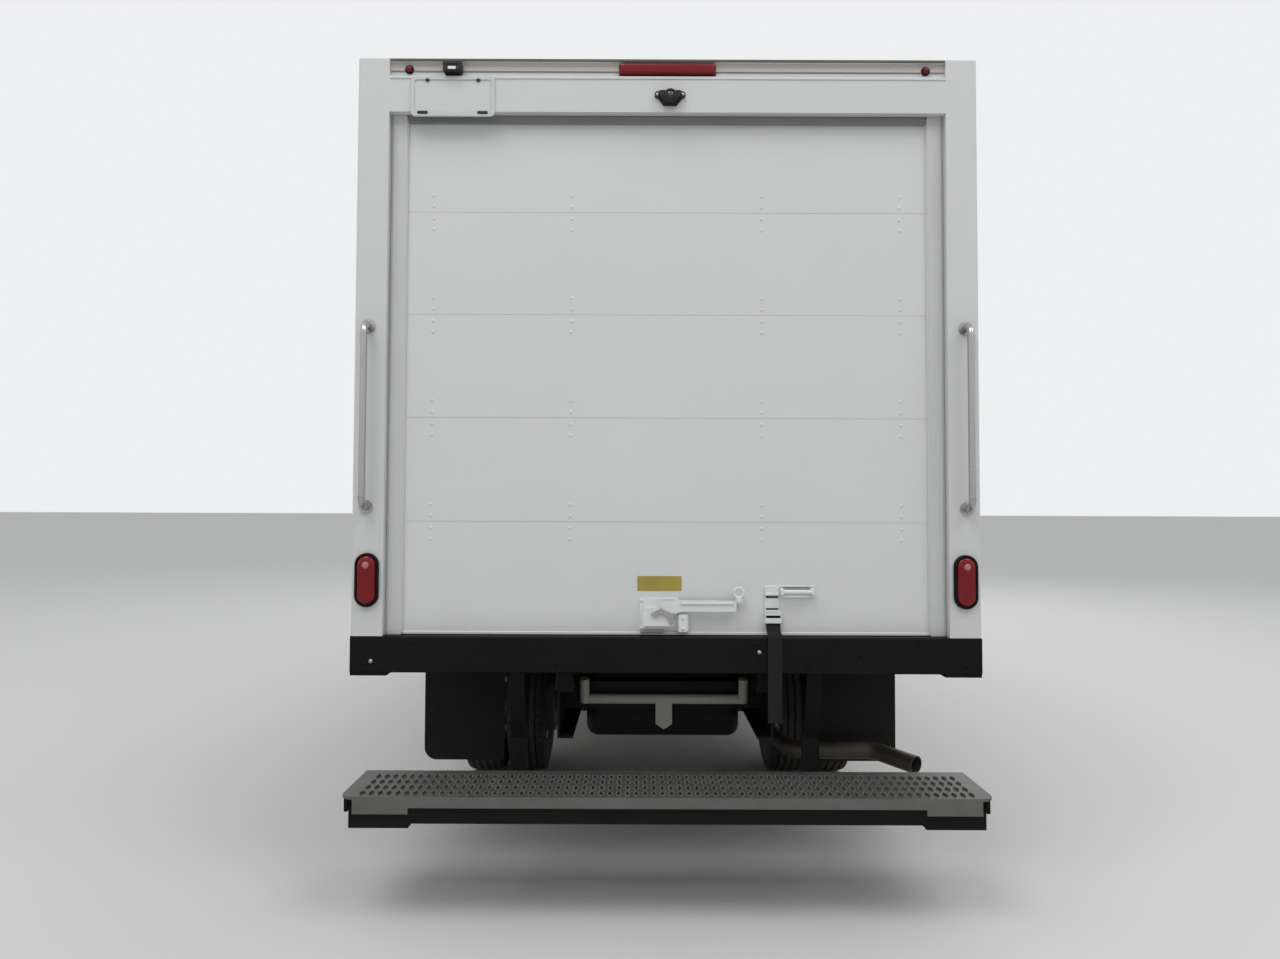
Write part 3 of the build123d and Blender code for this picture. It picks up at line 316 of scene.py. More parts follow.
def finish(name, slot, color, rough=0.4, metal=0.0, fine=300.0, bump=0.02, tone=0.06, slow=2.0,
           grime=0.0, grimeTop=1.2, grimeColor=(0.17, 0.15, 0.125), wear=0.0, wearColor=(0.3, 0.29, 0.27),
           coat=0.0, transmission=0.0, roughSpread=0.08, specular=0.5):
    # One recipe for painted, moulded, cast and rubber finishes: base colour, tone, dirt, wear and grain
    material = bpy.data.materials.new(name)
    material.use_nodes = True
    tree = material.node_tree
    shader = tree.nodes["Principled BSDF"].inputs
    for label, value in (("Metallic", metal), ("Coat Weight", coat), ("Coat Roughness", 0.12),
                         ("Transmission Weight", transmission), ("Specular IOR Level", specular)):
        shader[label].default_value = value
    grain = addNode(tree, "Group", {"Fine": fine, "Slow": slow}, node_tree=grainGroup).outputs
    dark, light = ([min(channel * share, 1) for channel in color] + [1] for share in (1 - tone, 1 + tone))
    base = addNode(tree, "Mix", {"A": dark, "B": light}, {"Factor": grain["Tone"]},
                   data_type="RGBA").outputs["Result"]
    roughRange = {"To Min": max(rough - roughSpread, 0.02), "To Max": min(rough + roughSpread, 1.0)}
    roughness = addNode(tree, "MapRange", roughRange, {"Value": grain["Tone"]}).outputs[0]
    if wear:
        worn = addNode(tree, "Group", node_tree=wearGroup).outputs["Mask"]
        share = addNode(tree, "Math", {1: wear}, {0: worn}, operation="MULTIPLY").outputs[0]
        base = addNode(tree, "Mix", {"B": (*wearColor, 1)}, {"Factor": share, "A": base},
                       data_type="RGBA").outputs["Result"]
    if grime:
        dirt = addNode(tree, "Group", {"Amount": grime, "Top": grimeTop}, node_tree=grimeGroup).outputs["Mask"]
        base = addNode(tree, "Mix", {"B": (*grimeColor, 1)}, {"Factor": dirt, "A": base},
                       data_type="RGBA").outputs["Result"]
        roughness = addNode(tree, "Math", {1: 0.45}, {0: dirt, 2: roughness}, operation="MULTIPLY_ADD",
                            use_clamp=True).outputs[0]
    tree.links.new(base, shader["Base Color"])
    tree.links.new(roughness, shader["Roughness"])
    if bump:
        relief = addNode(tree, "Bump", {"Strength": bump, "Distance": 0.001}, {"Height": grain["Height"]})
        tree.links.new(relief.outputs[0], shader["Normal"])
    slotFinish.setdefault(slot, material)
    return material


# Finishes of the frame's own nodes alone
finish("paleBarPaint", "pale_steel", (0.33, 0.32, 0.27), 0.5, fine=160, bump=0.2, tone=0.15, slow=8, grime=0.3,
       wear=0.3)
finish("wheelPaint", "wheel_steel", (0.62, 0.63, 0.62),
       0.38, fine=200, bump=0.08, tone=0.05, grime=0.7, grimeTop=0.9, wear=0.3)
finish("castDark", "cast", (0.035, 0.033, 0.031), 0.68, fine=120, bump=0.6, tone=0.3, slow=10, grime=0.5,
       grimeTop=1.0)
finish("exhaustSteel", "exhaust_steel", (0.055, 0.045, 0.037),
       0.5, metal=0.6, fine=150, bump=0.25, tone=0.35, slow=11, grime=0.3, grimeTop=0.9)
finish("deckWood", "deck_wood", (0.30, 0.20, 0.11), 0.55, fine=60, bump=0.3, tone=0.25, slow=7, grime=0.2)
# Finishes, named for what they cover
whiteBody = finish("whiteBodyPaint", "body_white", (0.635, 0.64, 0.637),
                   0.34, fine=140, bump=0.05, tone=0.02, grime=0.28, grimeTop=1.7, coat=0.15)
whiteDoor = finish("whiteDoorPaint", "door_white", (0.675, 0.678, 0.677),
                   0.42, fine=90, bump=0.10, tone=0.025, slow=1.3, grime=0.22, grimeTop=1.6)
whiteCab = finish("whiteCabPaint", "white_paint", (0.67, 0.675, 0.672),
                  0.22, fine=220, bump=0.02, tone=0.015, grime=0.3, grimeTop=1.1, coat=0.5)
blackFrame = finish("blackFramePaint", "black_paint", (0.0042, 0.0042, 0.0046), 0.5,
                    fine=180, bump=0.25, tone=0.25, grime=0.07, grimeTop=1.3, grimeColor=(0.10, 0.09, 0.075),
                    wear=0.3, wearColor=(0.05, 0.047, 0.043), specular=0.11)
galvanised = finish("galvanisedTread", "galvanised", (0.148, 0.150, 0.140), 0.48, metal=0.7, fine=260,
                    bump=0.15, tone=0.22, slow=14, grime=0.5, grimeTop=0.9, grimeColor=(0.085, 0.08, 0.065))
stainless = finish("stainlessTube", "stainless", (0.42, 0.42, 0.41),
                   0.24, metal=1.0, fine=400, bump=0.03, tone=0.08, slow=20)
rubberBlack = finish("blackRubber", "rubber", (0.006, 0.006, 0.0065),
                     0.62, fine=500, bump=0.2, tone=0.25, slow=6, grime=0.12, grimeTop=0.9, specular=0.13)
tyreRubber = finish("tyreRubber", "tyre", (0.013, 0.013, 0.0135), 0.72, fine=650, bump=0.3, tone=0.3, slow=9,
                    grime=0.4, grimeTop=0.75, grimeColor=(0.09, 0.08, 0.068), specular=0.35)
blackPlastic = finish("blackPlastic", "black_plastic", (0.014, 0.014, 0.0145),
                      0.55, fine=420, bump=0.35, tone=0.12, slow=5, grime=0.12, grimeTop=1.0, specular=0.35)
greyPlastic = finish("greyPlastic", "grey_plastic", (0.13, 0.13, 0.135),
                     0.6, fine=420, bump=0.4, tone=0.1, slow=5)
redLens = finish("redLens", "lens", (0.18, 0.005, 0.009),
                 0.16, fine=90, bump=0.05, tone=0.12, slow=30, coat=0.15, specular=0.25)
amberLens = finish("amberLens", "lens", (0.75, 0.20, 0.01),
                   0.14, fine=90, bump=0.05, tone=0.1, slow=30, coat=0.6)
clearLens = finish("clearLens", "lamp_clear", (0.80, 0.81, 0.80),
                   0.08, fine=60, bump=0.05, tone=0.05, slow=12, coat=0.8)
holderPlastic = finish("holderPlastic", "clear_plastic", (0.56, 0.59, 0.58),
                       0.35, fine=200, bump=0.03, tone=0.04, coat=0.4)
strapWeb = finish("strapWeb", "strap", (0.011, 0.0115, 0.0125),
                  0.85, fine=900, bump=0.6, tone=0.2, slow=18, specular=0.25)
seatCloth = finish("seatCloth", "seat_fabric", (0.075, 0.078, 0.085),
                   0.9, fine=1400, bump=0.7, tone=0.2, slow=25)
windowGlass = finish("windowGlass", "glass", (0.55, 0.60, 0.58),
                     0.05, fine=20, bump=0.0, tone=0.03, slow=3, transmission=1.0)
windowGlass.node_tree.nodes["Principled BSDF"].inputs["IOR"].default_value = 1.5
lensSpot = finish("lensSpot", "lens", (0.42, 0.12, 0.13),
                  0.12, fine=60, bump=0.02, tone=0.08, slow=20, coat=0.6)
darkGlass = finish("darkGlass", "black_plastic", (0.012, 0.013, 0.016),
                   0.05, fine=60, bump=0.0, tone=0.05, slow=9, coat=1.0)
plateWhite = finish("blankPlateWhite", "white_paint", (0.625, 0.63, 0.625),
                    0.4, fine=200, bump=0.03, tone=0.03, slow=6)
lockWhite = finish("lockWhite", "white_paint", (0.70, 0.71, 0.71),
                   0.36, fine=160, bump=0.12, tone=0.05, slow=10, wear=0.45, wearColor=(0.36, 0.34, 0.31))
# Grey of the lock's pawl and the track shoes; also painted shade for the strip under the lock's base and the
# plate in the lift handle's pocket
lockGreyAndShade = finish("lockGreyAndShade", "white_paint", (0.33, 0.33, 0.34),
                  0.45, fine=160, bump=0.15, tone=0.12, slow=12, wear=0.3)
yellowLabel = finish("yellowLabel", "white_paint", (0.36, 0.275, 0.05),
                     0.5, fine=120, bump=0.03, tone=0.22, slow=9)
mirrorChrome = finish("mirrorChrome", "glass", (0.80, 0.81, 0.82),
                      0.05, metal=1.0, fine=90, bump=0.0, tone=0.03, slow=5, roughSpread=0.02)
lampGlass = finish("lampGlass", "lamp_clear", (0.92, 0.94, 0.94),
                   0.04, fine=70, bump=0.0, tone=0.02, slow=8, transmission=1.0, roughSpread=0.01)
nutSteel = finish("nutSteel", "wheel_steel", (0.36, 0.36, 0.35),
                  0.38, metal=0.8, fine=300, bump=0.1, tone=0.15, slow=30, grime=0.5, grimeTop=0.9)
trackPaint = finish("trackPaint", "white_paint", (0.58, 0.585, 0.585),
                    0.45, fine=150, bump=0.1, tone=0.06, slow=4, grime=0.3, grimeTop=1.6)
creamBand = finish("creamBand", "white_paint", (0.61, 0.555, 0.50), 0.5, fine=180, bump=0.05, tone=0.05, slow=5)
# Dark olive of the strip under the roof's edge: painted shadow of the drip rail
paintedDripShadow = finish("oliveDripShadow", "white_paint", (0.105, 0.11, 0.09),
                   0.55, fine=160, bump=0.15, tone=0.2, slow=8)
# Mid grey of the strip's bead and the header seal; on the header seal it is painted shade of the header's
# underside
sealAndShadeGrey = finish("sealAndShadeGrey", "rubber", (0.22, 0.225, 0.215), 0.8, fine=500, bump=0.3, tone=0.12, slow=6)
# Light grey of the beads along the posts' inner edges: painted shade of the corner between track and post
beadShadeGrey = finish("beadShadeGrey", "rubber", (0.40, 0.40, 0.395), 0.8, fine=500, bump=0.3, tone=0.12, slow=6)
rivetGrey = finish("rivetGrey", "body_white", (0.46, 0.465, 0.46),
                   0.4, metal=0.2, fine=300, bump=0.05, tone=0.1, slow=9)
print("stage: finishes made")

slotFinish["white_paint"] = whiteBody
slotOf = {part["node"]: part["material_slot"] for part in frame["record"]["subparts"]}
for nodeName, node in nodes.items():
    node.data.materials.clear()
    if nodeName == "door_tracks":
        node.data.materials.append(trackPaint)
        continue
    isCab = nodeName.startswith(("cab_", "door_left", "door_right")) and slotOf[nodeName] == "white_paint"
    node.data.materials.append(whiteCab if isCab else slotFinish[slotOf[nodeName]])
print("stage: frame nodes dressed")

# Oval tail lamps: a rubber ring, a domed red lens and a small bright spot near its top
tailLamps = {"halfWide": 0.046, "halfTall": 0.104, "ring": 0.010, "ringDepth": 0.016, "dome": 0.013,
             "inset": 0.063, "height": 0.216, "spotRise": 0.058}


def buildTailLamp(spec, side):
    x, z = side * (halfBody - spec["inset"]), deckZ + spec["height"]
    wide, tall, depth = spec["halfWide"], spec["halfTall"], spec["ringDepth"]
    ringTable = [(0.0, 0.0), (0.0, depth - 0.004), (0.003, depth), (0.007, depth),
                 (spec["ring"], depth - 0.003), (spec["ring"], 0.002)]
    outlines = [stadium(wide - cut, tall - cut, 64) for cut, out in ringTable]
    ring = stacked(outlines, [sillY - out for cut, out in ringTable], (x, z), capLast=False)
    # Lens: depth rises as the square root of one minus the squared distance from its middle line
    lensWide, lensTall = wide - spec["ring"], tall - spec["ring"]
    inward = np.linspace(0, 0.97, 12)
    rise = spec["dome"] * np.sqrt(1 - (1 - inward) ** 2)
    outlines = [stadium(lensWide * (1 - share) + 0.0002, lensTall - lensWide * share, 96) for share in inward]
    lens = stacked(outlines, sillY - depth + 0.004 - rise, (x, z))
    spot = domes([(x, sillY - depth - spec["dome"] + 0.003, z + spec["spotRise"])], 0.013, 0.003, rearward, 20)
    return ring, lens, spot


lampRings, lampLenses, lampSpots = zip(*[buildTailLamp(tailLamps, side) for side in (-1, 1)])
addPiece("lampRings", lampRings, rubberBlack, smooth=True)
lenses = addPiece("lampLenses", lampLenses, redLens, smooth=True)
addPiece("lampSpots", lampSpots, lensSpot, smooth=True)
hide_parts("tail_lamps")
print("stage: tail lamps")

# Top strip: ribbed brake lamp, two small markers and the dark housing of the plate lamp
topStrip = {"low": roofZ - 0.068, "tall": 0.057, "sunk": 0.014, "barHalf": 0.189, "barTall": 0.0225,
            "barDepth": 0.026, "markerX": 1.020, "housingX": -0.844, "creamFrom": 0.0255, "creamTo": 0.0565,
            "railTall": 0.0095}
stripY, stripZ = sillY + topStrip["sunk"], topStrip["low"] + topStrip["tall"] / 2


def buildBrakeLamp(spec):
    # Rib depth follows a cosine along the lamp; the face rolls over at its border
    along = np.linspace(-spec["barHalf"], spec["barHalf"], 160)
    across = np.linspace(-1, 1, 13)
    a, c = np.meshgrid(along, across, indexing="ij")
    roll = np.sqrt(np.clip(1 - np.abs(c) ** 6, 0, 1))
    roll *= np.sqrt(np.clip(1 - np.abs(a / spec["barHalf"]) ** 40, 0, 1))
    ribs = 0.0007 * np.cos(a * 2 * math.pi / 0.006) * (roll > 0.6)
    y = stripY - spec["barDepth"] * 0.25 - (spec["barDepth"] * 0.75 - 0.001) * roll + ribs
    points = np.stack([a, y, stripZ + c * spec["barTall"]], -1).reshape(-1, 3)
    return points, gridFaces(160, 13)


brakeBase = slab((-topStrip["barHalf"] - 0.002, -0.008, -0.0235), (topStrip["barHalf"] + 0.002, 0, 0.0235),
                 0.002, (0, stripY, stripZ))
brakeLamp = addPiece("brakeLamp", [buildBrakeLamp(topStrip)], redLens, smooth=True)
markerRing = [(0.0, 0.017), (0.006, 0.017), (0.008, 0.014), (0.007, 0.010)]
markerLens = [(0.004, 0.0125), (0.010, 0.012), (0.016, 0.009), (0.019, 0.004), (0.0195, 0.0005)]
markerSpots = [(side * topStrip["markerX"], stripY, stripZ) for side in (-1, 1)]
addPiece("markerRings", [turned([(-a, r) for a, r in markerRing], 28, "y", spot)
                         for spot in markerSpots] + [brakeBase], rubberBlack)
addPiece("markerLenses", [turned([(-a, r) for a, r in markerLens], 28, "y", spot) for spot in markerSpots],
         redLens, smooth=True)
housingAt = (topStrip["housingX"], stripY, stripZ)
housing = [slab((-0.036, -0.046, -0.024), (0.036, 0, 0.020), 0.005, housingAt),
           slab((-0.028, -0.049, 0.001), (0.028, -0.040, 0.012), 0.002, housingAt)]
addPiece("plateLampHousing", housing, blackPlastic)
lampWindow = slab((-0.016, -0.0485, -0.018), (0.016, -0.030, -0.006), 0.002, housingAt)
addPiece("plateLampWindow", [lampWindow], clearLens)
stripLip = slab((-halfBody + 0.124, -0.0035, -0.012), (halfBody - 0.124, 0.001, -0.002),
                0.001, (0, sillY, topStrip["low"]))
addPiece("stripLip", [stripLip], whiteDoor)
# Bare cream band behind the lamps, a dark bead below it, and along the roof's edge a dark olive strip: painted
# shadow of the drip rail
stripHalf, stripLow = halfBody - 0.126, topStrip["low"]
addPiece("stripBand", [slab((-stripHalf, stripY - 0.0012, stripLow + topStrip["creamFrom"]),
                            (stripHalf, stripY + 0.0005, stripLow + topStrip["creamTo"]))], creamBand)
addPiece("stripBead", [slab((-stripHalf, -0.0030, -0.0055), (stripHalf, 0.0005, 0), 0.001,
                            (0, stripY, stripLow + topStrip["creamFrom"]))], sealAndShadeGrey)
# Dark olive strip under the roof's edge: painted shadow cast by the drip rail
addPiece("dripShadowStrip", [slab((-stripHalf, sillY - 0.0050, roofZ - topStrip["railTall"] - 0.0015),
                           (stripHalf, sillY + 0.0010, roofZ - 0.0015), 0.0015)], paintedDripShadow)
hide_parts("top_lamps")
print("stage: top strip")

# Camera pod with two bolted ears, and the blank plate in its clear holder
cameraPod = {"top": roofZ - 0.131, "x": 0.010, "earX": 0.050, "drop": 0.057}
podX, podTop, podDrop = cameraPod["x"], cameraPod["top"], cameraPod["drop"]
podOutline = [(-0.060, podTop - 0.006), (-0.052, podTop), (0.052, podTop), (0.060, podTop - 0.006),
              (0.060, podTop - 0.022), (0.046, podTop - 0.030), (0.026, podTop - podDrop),
              (-0.026, podTop - podDrop), (-0.046, podTop - 0.030), (-0.060, podTop - 0.022)]
podNose = [(0.0, 0.024), (-0.020, 0.024), (-0.026, 0.021), (-0.027, 0.015), (-0.023, 0.013), (-0.023, 0.0005)]
pod = [plate([(podX + x, z) for x, z in podOutline], 0.010, "y", sillY - 0.010),
       plate([(podX + x * 0.74, podTop - 0.028 + (z - podTop + 0.028) * 0.8) for x, z in podOutline],
             0.024, "y", sillY - 0.032), turned(podNose, 32, "y", (podX, sillY - 0.031, podTop - 0.032))]
addPiece("cameraPod", pod, blackPlastic, bevel=0.0015)
addPiece("cameraGlass", [domes([(podX, sillY - 0.0535, podTop - 0.032)], 0.0125, 0.004, rearward, 24)],
         darkGlass, smooth=True)
addPiece("cameraBolts", [domes([(podX + side * cameraPod["earX"], sillY - 0.010, podTop - 0.013)
                                for side in (-1, 1)], 0.0065, 0.004, rearward, 14)], stainless, smooth=True)

plateHolder = {"x": -0.8445, "z": roofZ - 0.153, "halfWide": 0.1655, "halfTall": 0.080, "border": 0.015,
               "corner": 0.018}


def buildHolder(spec):
    def outer(cut):
        return roundRect(spec["halfWide"] - cut, spec["halfTall"] - cut, spec["corner"] - cut * 0.5, 7)

    table = [(0.0, 0.0), (0.0, 0.006), (0.0015, 0.008), (spec["border"] - 0.0015, 0.008),
             (spec["border"], 0.006), (spec["border"], 0.0035)]
    ring = stacked([outer(cut) for cut, out in table], [sillY - out for cut, out in table],
                   (spec["x"], spec["z"]), capLast=False)
    blank = stacked([outer(spec["border"]), outer(spec["border"]), outer(spec["border"] + 0.004)],
                    [sillY, sillY - 0.0035, sillY - 0.0042], (spec["x"], spec["z"]))
    return ring, blank


holderRing, blankPlate = buildHolder(plateHolder)
holder = addPiece("plateHolder", [holderRing], holderPlastic)
addPiece("blankPlate", [blankPlate], plateWhite)
holderSlots = []
slotRows = [(side * across, up, half, tall)
            for across, up, half, tall in ((0.118, -0.066, 0.021, 0.0062), (0.100, 0.064, 0.008, 0.0055))
            for side in (-1, 1)]
for dx, dz, half, tall in slotRows:
    oval = roundRect(half, tall, tall * 0.95, 7)
    holderSlots.append(stacked([oval, oval, oval * 0.9], [sillY - 0.004, sillY - 0.0085, sillY - 0.0095],
                               (plateHolder["x"] + dx, plateHolder["z"] + dz)))
addPiece("plateBolts", holderSlots, blackPlastic)
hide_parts("header_fittings")
print("stage: camera and plate holder")

# Lock on the door: base plate, latch body, lever, ring and foot; then the strap plate and the lift handle
doorAt = np.array([0, doorFaceY, deckZ])  # point that the door's fittings are measured from
ringX = 0.283


def torus(centre, ringRadius, barRadius, axis="y", ringCount=28, barCount=10):
    # Ring: each point lies barRadius from a circle of ringRadius
    angle = np.linspace(0, 2 * math.pi, barCount, endpoint=False)
    profile = np.stack([barRadius * np.sin(angle), ringRadius + barRadius * np.cos(angle)], 1)
    return turned(profile, ringCount, axis, centre, closed=True)


def doorPlate(outline, depth, out):
    # Plate on the door: its outline starts at the deck's height and its outer face stands off the door
    return plate(np.add(outline, (0, deckZ)), depth, "y", doorFaceY - out)


lockBase = stacked([roundRect(0.077, 0.063, 0.008), roundRect(0.077, 0.063, 0.008),
                    roundRect(0.0755, 0.0615, 0.007)], [doorFaceY, doorFaceY - 0.004, doorFaceY - 0.006],
                   (-0.027, deckZ + 0.083))
latch = doorPlate([(-0.088, 0.040), (0.030, 0.040), (0.034, 0.056), (0.026, 0.082), (-0.004, 0.102),
                   (-0.050, 0.114), (-0.084, 0.108), (-0.094, 0.080)], 0.030, 0.036)
pawl = doorPlate([(-0.060, 0.088), (-0.020, 0.110), (0.028, 0.086), (0.030, 0.050), (0.014, 0.048),
                  (0.008, 0.074), (-0.022, 0.090), (-0.046, 0.074)], 0.010, 0.047)
lever = doorPlate([(-0.030, 0.106), (-0.018, 0.130), (0.046, 0.140), (0.268, 0.138), (0.274, 0.132),
                   (0.274, 0.102), (0.268, 0.096), (0.062, 0.096), (0.034, 0.088), (-0.010, 0.090)],
                  0.012, 0.034)
leverRidge = slab((0.055, -0.0385, 0.122), (0.262, -0.033, 0.135), 0.003, doorAt)
foot = slab((0.046, -0.030, 0.012), (0.088, 0, 0.086), 0.006, doorAt)
hasp = [torus((ringX, doorFaceY - 0.030, deckZ + 0.169), 0.019, 0.0055),
        slab((0.266, -0.026, 0.118), (0.300, -0.004, 0.156), 0.005, doorAt),
        turned([(0.0, 0.013), (-0.034, 0.013), (-0.038, 0.009), (-0.038, 0.0005)],
               20, "y", (ringX, doorFaceY, deckZ + 0.140))]
# Grey strip along the bottom of the lock's base: painted shadow below the base
lockBaseShadow = slab((-0.100, -0.014, 0.011), (-0.010, 0, 0.024), 0.002, doorAt)
lockPieces = [lockBase, latch, lever, leverRidge, foot] + hasp
lock = addPiece("doorLock", lockPieces, lockWhite, bevel=0.0022)
addPiece("lockPawl", [pawl, lockBaseShadow], lockGreyAndShade, bevel=0.0015)
lockBolts = [(-0.094, -0.006, 0.136), (0.040, -0.006, 0.136), (-0.094, -0.006, 0.030), (-0.046, -0.036, 0.078),
             (0.067, -0.030, 0.070), (0.067, -0.030, 0.030)]
addPiece("lockBolts", [domes(doorAt + lockBolts, 0.0075, 0.0045, rearward, 12)], lockWhite, smooth=True)

strapPlate = [stacked([roundRect(0.029, 0.0615, 0.006), roundRect(0.029, 0.0615, 0.006),
                       roundRect(0.027, 0.0595, 0.005)], [doorFaceY, doorFaceY - 0.005, doorFaceY - 0.007],
                      (0.415, deckZ + 0.1345))]
# Two ridges of the plate, then the loop for the webbing's head: a cover, a gap, a flat bar and two sides
strapBars = [((0.386, -0.013, 0.156), (0.444, -0.004, 0.168), 0.003),
             ((0.386, -0.016, 0.088), (0.444, -0.004, 0.096), 0.003),
             ((0.388, -0.0160, 0.080), (0.450, -0.0125, 0.102), 0.001),
             ((0.388, -0.0200, 0.050), (0.450, -0.0148, 0.070), 0.001)]
strapBars += [((x - 0.0020, -0.0195, 0.050), (x + 0.0020, 0, 0.102), 0.0006) for x in (0.3885, 0.4495)]
strapPlate += [slab(low, high, bevel, doorAt) for low, high, bevel in strapBars]
addPiece("strapPlate", strapPlate, lockWhite, bevel=0.001)
strapSlots = [slab((0.391, -0.0085, low), (0.439, -0.0065, high), at=doorAt)
              for low, high in ((0.148, 0.155), (0.097, 0.108))]
addPiece("strapSlots", strapSlots, blackPlastic)

liftX, liftZ = 0.511, deckZ + 0.173
bezelTable = [(0.0, 0.0), (0.0, 0.004), (0.0015, 0.0055), (0.0065, 0.0055), (0.008, 0.004), (0.008, 0.0012)]
liftBezel = stacked([roundRect(0.0735 - cut, 0.0245 - cut, 0.010 - cut * 0.4, 6) for cut, out in bezelTable],
                    [doorFaceY - out for cut, out in bezelTable], (liftX, liftZ))
liftBar = [turned([(-0.058, 0.0005), (-0.058, 0.0075), (-0.056, 0.009), (0.056, 0.009),
                   (0.058, 0.0075), (0.058, 0.0005)], 20, "x", (liftX, doorFaceY - 0.034, liftZ)),
           slab((-0.066, -0.043, -0.014), (-0.052, 0, 0.014), 0.004, (liftX, doorFaceY, liftZ)),
           slab((0.052, -0.043, -0.014), (0.066, 0, 0.014), 0.004, (liftX, doorFaceY, liftZ))]
addPiece("liftHandle", [liftBezel] + liftBar, lockWhite, bevel=0.0008)
addPiece("liftShadow",
         [slab((-0.052, -0.0022, -0.0165), (0.052, -0.0010, 0.0165), at=(liftX, doorFaceY, liftZ))], lockGreyAndShade)
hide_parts("door_hardware")

blankLabel = slab((-0.112, -0.0009, 0.173), (0.062, -0.0001, 0.231), at=doorAt)
addPiece("blankLabel", [blankLabel], yellowLabel)
print("stage: lock and handles")

# Pull strap: webbing that leaves the plate, folds over the door's foot and hangs in front of the sill
strapSpec = {"x": 0.419, "wide": 0.055, "thick": 0.0032, "hem": 0.032, "length": 0.450}
strapRoute = [(doorFaceY - 0.0105, 1.110), (doorFaceY - 0.0110, 1.076), (doorFaceY - 0.0150, 1.044),
              (doorFaceY - 0.0310, 1.027), (sillY - 0.0060, 1.0215), (sillY - 0.0080, 0.992),
              (sillY - 0.0068, 0.938), (sillY - 0.0078, 0.874), (sillY - 0.0068, 0.808),
              (sillY - 0.0074, 0.744), (sillY - 0.0072, 0.684)]


def splineLine(route, name):
    # Points along the smooth spline whose control points are the route's
    curve = bpy.data.curves.new(name, "CURVE")
    curve.dimensions = "3D"
    curve.resolution_u = 12
    spline = curve.splines.new("NURBS")
    spline.points.add(len(route) - 1)
    for point, place in zip(spline.points, route):
        point.co = (*place, 1.0)
    spline.order_u = 3
    spline.use_endpoint_u = True
    holder = bpy.data.objects.new(name, curve)
    mesh = bpy.data.meshes.new_from_object(holder)
    line = np.array([vertex.co[:] for vertex in mesh.vertices])
    bpy.data.objects.remove(holder)
    bpy.data.curves.remove(curve)
    bpy.data.meshes.remove(mesh)
    return line


strapLine = splineLine([(strapSpec["x"], y, z) for y, z in strapRoute], "strapRoute")
halfW, halfT = strapSpec["wide"] / 2, strapSpec["thick"] / 2
strapProfile = [(-halfT, -halfW + 0.001), (-halfT, halfW - 0.001), (0, halfW), (halfT, halfW - 0.001),
                (halfT, -halfW + 0.001), (0, -halfW)]
strap = addPiece("pullStrap", [swept(strapLine, strapProfile, (1, 0, 0))], strapWeb)
strapEnd = np.array([strapSpec["x"], strapRoute[-1][0], strapRoute[-1][1]])
strapHem = addPiece("strapHem", [slab(strapEnd - [halfW - 0.0005, 0.0030, 0.0],
                                      strapEnd + [halfW - 0.0005, 0.0026, strapSpec["hem"]], 0.0012)], strapWeb)
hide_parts("pull_strap")
print("stage: strap")

# Sections of the door: a shallow joint between each pair, and the painted bolts of the hinges behind
doorSections = {"count": 5, "start": 0.032, "hingeX": (-0.925, -0.377, 0.377, 0.925),
                "bolts": (-0.068, -0.024, 0.024, 0.068)}
sectionTall = (highOf("roll_up_door")[2] - deckZ - doorSections["start"]) / doorSections["count"]
seamHeights = [deckZ + doorSections["start"] + sectionTall * number
               for number in range(1, doorSections["count"])]
addPiece("doorJoints", [slab((-halfDoor + 0.001, 0.0010, -0.0024), (halfDoor - 0.001, 0.0038, 0.0024),
                             at=(0, doorFaceY, z)) for z in seamHeights], whiteDoor)
hingeBolts = [(x, doorFaceY, z + lift) for x in doorSections["hingeX"] for z in seamHeights
              for lift in doorSections["bolts"]]
addPiece("hingeBolts", [domes(hingeBolts, 0.0075, 0.0020, rearward, 12)], whiteDoor, smooth=True)

# Foot bar of the door, and small blocks at the foot of the tracks
footBar = [slab((-halfDoor, -0.004, 0.0015), (halfDoor, 0.016, 0.014), 0.002, doorAt)]
addPiece("doorFootBar", footBar, lockWhite)
shoeX = halfDoor + 0.011
trackShoes = [slab((-0.018, 0.010, 0.003), (0.018, 0.034, 0.042), 0.004, doorAt + (side * shoeX, 0, 0))
              for side in (-1, 1)]
addPiece("trackShoes", trackShoes, lockGreyAndShade)

# Brush seals that close the tracks' slots to the door, and grey beads where the tracks meet the posts: painted
# shade of that inner corner
trackSeals = {"lip": -lowOf("door_tracks")[0] - 0.062, "post": -lowOf("door_tracks")[0],
              "foot": deckZ + 0.006, "head": highOf("roll_up_door")[2] - 0.030}
trackFaceY = middleOf("roll_up_door")[1] - 0.026
brushes = [slab((side * (trackSeals["lip"] + 0.0005) - 0.0045, trackFaceY + 0.004, trackSeals["foot"]),
                (side * (trackSeals["lip"] + 0.0005) + 0.0045, doorFaceY - 0.0004, trackSeals["head"]), 0.0012)
           for side in (-1, 1)]
addPiece("trackBrushes", brushes, whiteDoor)
shadeBeads = [slab((-0.0030, -0.0050, trackSeals["foot"]), (0.0030, 0.0010, trackSeals["head"]),
              0.0012, (side * (trackSeals["post"] - 0.0065), trackFaceY, 0)) for side in (-1, 1)]
addPiece("postShadeBeads", shadeBeads, beadShadeGrey)

